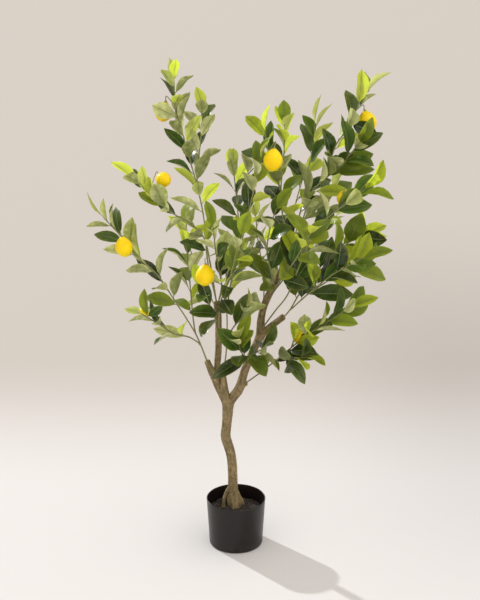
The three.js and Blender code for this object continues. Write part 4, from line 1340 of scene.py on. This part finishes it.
def leaf_slot(part):
    """The material of each face of a leaf mesh: stalk, upper face or lower face.

    In a leaf's own numbering a ring's points 0 to 4 go over the upper face and 4 to 8 under the
    blade; the first row of quads and the fan at the foot are the stalk.
    """
    per_leaf = len(RING_SHARE) * LEAF_SIDES + 2
    own = part % per_leaf
    column = own[:, 0] % LEAF_SIDES
    if part.shape[1] == 3:
        column = np.where((own[:, 0] // LEAF_SIDES) == len(RING_SHARE) - 1, column, -1)
        return np.where(column < 0, STEM, np.where(column < 4, TOP, UNDER))
    ring = own.min(axis=1) // LEAF_SIDES
    return np.where(ring == 0, STEM, np.where(column < 4, TOP, UNDER))


fans_and_quads = np.concatenate([leaf_slot(part) for part in leaf_faces(1)])
print("faces of a leaf above, below and on its stalk:", np.bincount(fans_and_quads).tolist())

# %% One spray
FIRST_SPRAY_SEED = 700


def spray_parts(name, rng):
    """The stems, leaves, stalks and calyces of a spray: points, faces and numbers of each."""
    for stem, line, leaves in zip(SPRAYS[name], lines[name], placed[name]):
        yield *stem_tube(stem[3], [leaf["at"] for leaf in leaves]), {}
        if leaves:
            moved = [{**x, "root": x["root"] + on_curve(stem[3], line, x)} for x in leaves]
            yield leaf_mesh(moved, rng)
    for lemon in (x for x in LEMONS if x[0] == name):
        yield *stalk_tube(lemon), {}
        yield *calyx_tube(lemon), {}


def put_uv(piece, share, across):
    """A map of the leaf: along it from 0 to 1 one way, margin to margin the other way."""
    corners = np.empty(len(piece.data.loops), np.int32)
    piece.data.loops.foreach_get("vertex_index", corners)
    places = np.stack([share[corners], 0.5 + 0.5 * across[corners]], -1)
    layer = piece.data.uv_layers.new(name="leaf_map")
    layer.uv.foreach_set("vector", places.astype(np.float32).ravel())


def spray_piece(name, seed):
    """One spray as one piece, with a material for each face and the numbers of each point."""
    parts = list(spray_parts(name, np.random.default_rng(seed)))
    points, faces = joined([part[:2] for part in parts])
    title = name.replace("spray", "leaves")
    piece = make_mesh(title, points * MM, faces, sharp_degrees=62.0)
    slots = [leaf_slot(some) if numbers else np.full(len(some), STEM)
             for _, own, numbers in parts for some in own]
    piece.data.polygons.foreach_set("material_index", np.concatenate(slots).astype(np.int32))
    number = {k: np.concatenate([numbers.get(k, np.zeros(len(own))) for own, _, numbers in parts])
              for k in ("share", "across", "tone", "thin")}
    put_uv(piece, number["share"], number["across"])
    attribute(piece, "tone", number["tone"])
    attribute(piece, "thin", number["thin"])
    return piece


first_parts = list(spray_parts("spray_far_left", np.random.default_rng(FIRST_SPRAY_SEED)))
print("stems, sets of leaves, stalks and calyces of the first spray:", len(first_parts))

# %% [markdown]
# ## Leaf finishes
#
# From above a lemon leaf is dark and glossy, with a paler midrib; from below it is matte and
# pale olive, with a darker midrib. Light from behind comes through and turns it yellow-green,
# most in the young leaves at the tips. Subsurface scattering could do that, but a leaf is a
# sheet, so a Translucent shader is mixed in. The thinnest leaves are also painted yellow-green:
# partly the paler green of young leaves, partly a painted glow of that light. Each face is painted
# darker towards the midrib, a painted shade in the fold, and paler at the margin, a painted
# highlight. The veins are a pattern on the leaf's own map: a line along the middle, and slanting
# lines either side.

# %% Veins
SIDE_VEINS, VEIN_SLANT = 10, 1.9


def veins(f):
    """How far along and from the midrib a place is, and wires that are 1 on the veins.

    Side veins lie where the fraction of veins · along - slant · across is a half.
    """
    place = f.add("ShaderNodeUVMap", {"uv_map": "leaf_map"})
    along = f.run(0, place)
    across = abs(f.run(1, place) * 2 - 1)
    rib = across.between(0.085, 0.03)
    slant = (along * SIDE_VEINS - across * VEIN_SLANT).fraction()
    side = abs(slant - 0.5).between(0.12, 0.01) * across.between(1.0, 0.75)
    return along, across, rib, side


print("side veins run forward by", round(VEIN_SLANT / SIDE_VEINS, 2), "of the leaf's length")

# %% Leaf finishes
def leaf_finish(name, dark, light, young, rib_colour, through, shares, roughness, coat):
    """A leaf face: shade by leaf, younger to the tip, clouded, with veins, painted shade towards
    the midrib, a painted highlight at the margin and a glow partly painted into thin leaves.

    shares are the parts of light let through by the thickest and the thinnest leaf. The veins and
    the clouds let less of it through.
    """
    f = Finish(name)
    along, across, rib, side = veins(f)
    clouds = f.cloud(70.0, 4.0, 0.6)
    tone, thin = f.own("tone"), f.own("thin")
    colour = f.mix(tone * 1.05 + clouds.between(0.3, 0.7) * 0.6 - 0.34, dark, light)
    colour = f.mix(along.between(0.4, 1.0) * 0.12, colour, young)
    # thin leaves take the young colour: partly their own paler green, partly painted glow of light
    colour = f.mix(thin.between(0.4, 1.0) * 0.9, colour, young)
    # painted shade: darker towards the midrib, in the fold
    colour = f.mix(across.between(0.75, 0.1) * 0.4, colour, dark)
    colour = f.mix(rib * 0.65 + side * 0.2, colour, rib_colour)
    # painted highlight: a paler margin along the leaf's edge
    colour = f.mix(across.between(0.82, 0.97) * 0.25, colour, young)
    height = rib * 0.8 + side * 0.5 + f.cloud(380.0, 2.0) * 0.35
    gloss = tone.between(0.8, 0.2) * clouds.between(0.35, 0.6)
    sockets = {"Base Color": colour, "Roughness": roughness + clouds * 0.16,
               "Normal": f.bump(height, 0.0004, 0.7), "Coat Weight": gloss * coat,
               "Coat Roughness": 0.2, "Specular IOR Level": 0.14}
    shading = rib * 0.45 + side * 0.18 + clouds.between(0.35, 0.7) * 0.25
    share = (thin * (shares[1] - shares[0]) + shares[0]) * (1 - shading)
    return f.surface(sockets, through, share)


leaf_top = leaf_finish(
    "glossy_leaf_top", dark=(0.004, 0.013, 0.003), light=(0.062, 0.130, 0.016),
    young=(0.34, 0.37, 0.045), rib_colour=(0.22, 0.28, 0.10), through=(0.82, 0.93, 0.25),
    shares=(0.02, 0.82), roughness=0.28, coat=0.7)
leaf_under = leaf_finish(
    "matte_leaf_underside", dark=(0.255, 0.295, 0.110), light=(0.97, 1.00, 0.50),
    young=(0.88, 0.88, 0.20), rib_colour=(0.17, 0.20, 0.060), through=(0.90, 0.94, 0.24),
    shares=(0.20, 0.84), roughness=0.55, coat=0.0)
print("leaf finishes:", leaf_top.name, "and", leaf_under.name)

# %% [markdown]
# The stems are smooth and matte: brown where they leave the old wood and green in the crown, with
# fine streaks along them. Their age could be kept for each point, as the shade of the leaves is,
# but on this tree the height tells it well enough, so one mix over Z serves all of them.

# %% Stem finish
def stem_finish():
    """Green-brown stem: browner at the foot, green and finely streaked."""
    f = Finish("green_brown_stem")
    streaks = f.cloud(1.0, 3.0, vector=f.stretched((500, 500, 90)))
    colour = f.mix(f.run(2).between(0.45, 0.85), (0.250, 0.205, 0.100), (0.270, 0.290, 0.105))
    colour = f.mix(streaks.between(0.3, 0.8) * 0.6, colour, (0.140, 0.140, 0.050))
    return f.surface({"Base Color": colour, "Roughness": 0.5 + streaks * 0.2,
                      "Normal": f.bump(streaks, 0.0003)})


stem_skin = stem_finish()
for seed, spray in enumerate(SPRAYS, FIRST_SPRAY_SEED):
    dress(spray_piece(spray, seed), spray, "leaf", leaf_top, leaf_under, stem_skin)
print("sprays dressed:", len(SPRAYS))

# %% [markdown]
# ## The lemons
#
# Each lemon is an egg, up to 44 mm thick and 52 mm long, fullest a little short of its middle.
# It could be a sphere, scaled and pulled at the tip, but its profile is easier to steer: it is a
# turned profile, lumpy by less than half a millimetre. The peel is waxy and warm yellow, clouded
# with orange, and pitted with pores about a millimetre apart.

# %% Lemon shape
LEMON_RADIUS = 22
LEMON_SIDES, LEMON_RINGS = 40, 30
CALYX_RADIUS = 4.2
LUMPINESS, LUMP_WIDTH, LUMP_SEED = 0.012, 11.0, 60


def lemon_rings(lemon, seed):
    """Rings of a lemon from its calyx to its tip, in millimetres.

    The radius is 22 · sin(π · s^1.1)^0.55, widened to the calyx's own radius at the seat, with
    slow lumps; s runs from the seat to the tip and its steps are closest at both ends.
    """
    s = (1 - np.cos(np.linspace(0, math.pi, LEMON_RINGS))) / 2
    body = LEMON_RADIUS * np.clip(np.sin(math.pi * s**1.1), 0, None) ** 0.55
    radius = np.hypot(body, CALYX_RADIUS * (1 - s) ** 6)
    profile = np.stack([radius, LEMON_LENGTH * s], -1)[:-1]
    rings = turned(profile, LEMON_SIDES)
    bumps = noise(rings / LUMP_WIDTH + seed, LUMP_SEED) * np.sin(math.pi * s[:-1])[:, None]
    rings[..., :2] *= 1 + LUMPINESS * bumps[..., None]
    *_, centre, direction, size = lemon
    axis = unit(np.array(direction, float))
    return centre + (rings @ rows_for(axis) - axis * LEMON_LENGTH / 2) * size


print("a lemon's box:", np.ptp(lemon_rings(LEMONS[4], 5).reshape(-1, 3), axis=0).round(1), "mm")

# %% [markdown]
# The peel lets a little light in, so it gets some subsurface scattering. Its pores could be
# dents in the mesh, but they are far finer than its faces, so they are the cells of a Voronoi
# texture: darker dots in the colour and dents in the bump.

# %% Peel finish
def lemon_finish():
    """Waxy peel: warm yellow, clouded with orange, with pores that dent it."""
    f = Finish("waxy_lemon_peel")
    clouds = f.cloud(34.0, 3.0)
    pores = f.cells(720.0).between(0.42, 0.08)
    colour = f.mix(clouds.between(0.4, 0.75), (0.95, 0.70, 0.002), (0.90, 0.58, 0.002))
    colour = f.mix(pores * 0.15, colour, (0.80, 0.48, 0.004))
    return f.surface({"Base Color": colour, "Roughness": 0.30 + clouds * 0.12 + pores * 0.1,
                      "Normal": f.bump(1 - pores, 0.00022), "Coat Weight": 0.06,
                      "Coat Roughness": 0.25, "Specular IOR Level": 0.2,
                      "Subsurface Weight": 0.15,
                      "Subsurface Radius": (0.004, 0.002, 0.0004)})


peel = lemon_finish()
for number, lemon in enumerate(LEMONS, 1):
    points, faces = closed_tube(lemon_rings(lemon, number))
    fruit = make_mesh(f"fruit_{number:02d}", points * MM, faces, sharp_degrees=180.0)
    dress(fruit, f"lemon_{number:02d}", "lemon", peel)
print("lemons dressed:", len(LEMONS))

# %% [markdown]
# ## The floor
#
# The tree stands on a seamless pale floor whose colour carries painted shade: it darkens with
# distance and, faintly, towards the right. A studio would use a curved sheet of paper. This
# camera looks down, so a flat square is enough if its edge lies outside the picture.

# %% Floor
FLOOR_REACH = 40.0


def floor_piece():
    """A wide square of floor with painted shade: darker far behind the tree and to the right."""
    points = np.array([[-1, -1, 0], [1, -1, 0], [1, 1, 0], [-1, 1, 0]]) * FLOOR_REACH
    floor = make_mesh("studio_floor", points, [np.array([[0, 1, 2, 3]])])
    f = Finish("seamless_floor")
    side, depth = f.run(0), f.run(1)
    # painted shade: the floor's colour darkens with distance from the tree
    colour = f.mix(depth.between(0.25, 1.3), (0.642, 0.628, 0.632), (0.462, 0.430, 0.405))
    # painted shade: a faint darkening towards the right at middle depths
    shade = side.between(0.05, 0.75) * depth.between(3.2, 0.9) * depth.between(-1.0, 0.5)
    colour = f.mix(shade * 0.16, colour, (0, 0, 0))
    floor.data.materials.append(f.surface({"Base Color": colour, "Roughness": 0.9,
                                           "Specular IOR Level": 0.1}))
    return floor


print("floor:", floor_piece().name, 2 * FLOOR_REACH, "m wide")

# %% [markdown]
# ## The light
#
# A low sun from behind the left shoulder of the tree throws its shadow to the front right and
# shines through the leaves. A soft dome fills the rest, brightest from above and from the
# viewer's right. Lamps close by could do both, but their shadows would spread, and they would
# show up in the gloss of the pot and the leaves.

# %% Light
SUN_TRAVEL = (0.698, -0.716, -0.489)
SUN_ENERGY, SUN_ANGLE, SUN_COLOUR = 2.9, 1.6, (0.97, 1.0, 1.0)
BRIGHT_SIDE = (0.40, -0.50, 0.77)
SKY_LEAST, SKY_MOST = 0.33, 1.49
SKY_COLOUR = (1.0, 0.945, 0.885, 1.0)


def sun_light():
    """A sun lamp turned along the direction in which its light travels."""
    lamp = bpy.data.lights.new("low_sun", "SUN")
    lamp.energy, lamp.angle, lamp.color = SUN_ENERGY, math.radians(SUN_ANGLE), SUN_COLOUR
    sun = bpy.data.objects.new("low_sun", lamp)
    sun.rotation_mode = "QUATERNION"
    sun.rotation_quaternion = Vector(SUN_TRAVEL).to_track_quat("-Z", "Y")
    bpy.context.scene.collection.objects.link(sun)


def dome_light():
    """A soft dome, brighter the more a direction leans up, to the right and to the viewer.

    The lean is the direction's dot product with the bright side. Between -0.3 and 1 of it, the
    strength goes smoothly from the least to the most.
    """
    world = bpy.data.worlds.new("soft_dome")
    bpy.context.scene.world = world
    world.use_nodes = True
    sky = Nodes(world.node_tree, "ShaderNodeOutputWorld")
    direction = sky.add("ShaderNodeTexCoord", output="Generated")
    lean = sky.add("ShaderNodeVectorMath", {"operation": "DOT_PRODUCT"},
                   {0: direction, 1: BRIGHT_SIDE}, "Value")
    strength = lean.between(-0.3, 1.0) * (SKY_MOST - SKY_LEAST) + SKY_LEAST
    sky.end(sky.add("ShaderNodeBackground", {}, {"Color": SKY_COLOUR, "Strength": strength}))


sun_light()
dome_light()
bpy.context.scene.view_settings.view_transform = "Standard"
print("the sun's height above the floor:",
      round(math.degrees(math.asin(-Vector(SUN_TRAVEL).normalized().z)), 1), "degrees")

# %% [markdown]
# ## The camera
#
# The camera stands where the photograph was taken from. It could be found by trial, but the rim
# and the foot of the pot are circles, and the ellipses that they make in the picture give its
# pitch, its focal length and its distance.

# %% Camera
CAMERA_PLACE = (0.0103, -3.227, 1.808)
CAMERA_PITCH = 19.5
FOCAL_PIXELS, FRAME_HEIGHT = 1400, 600
SENSOR = 36


def camera():
    """The photograph's camera, solved from the rim and the foot of the pot."""
    lens = bpy.data.cameras.new("portrait_camera")
    lens.sensor_width = SENSOR
    lens.lens = SENSOR * FOCAL_PIXELS / FRAME_HEIGHT
    eye = bpy.data.objects.new("portrait_camera", lens)
    eye.location = CAMERA_PLACE
    eye.rotation_euler = (math.radians(90 - CAMERA_PITCH), 0, 0)
    bpy.context.scene.collection.objects.link(eye)
    bpy.context.scene.camera = eye
    return lens


print("lens:", camera().lens, "mm")
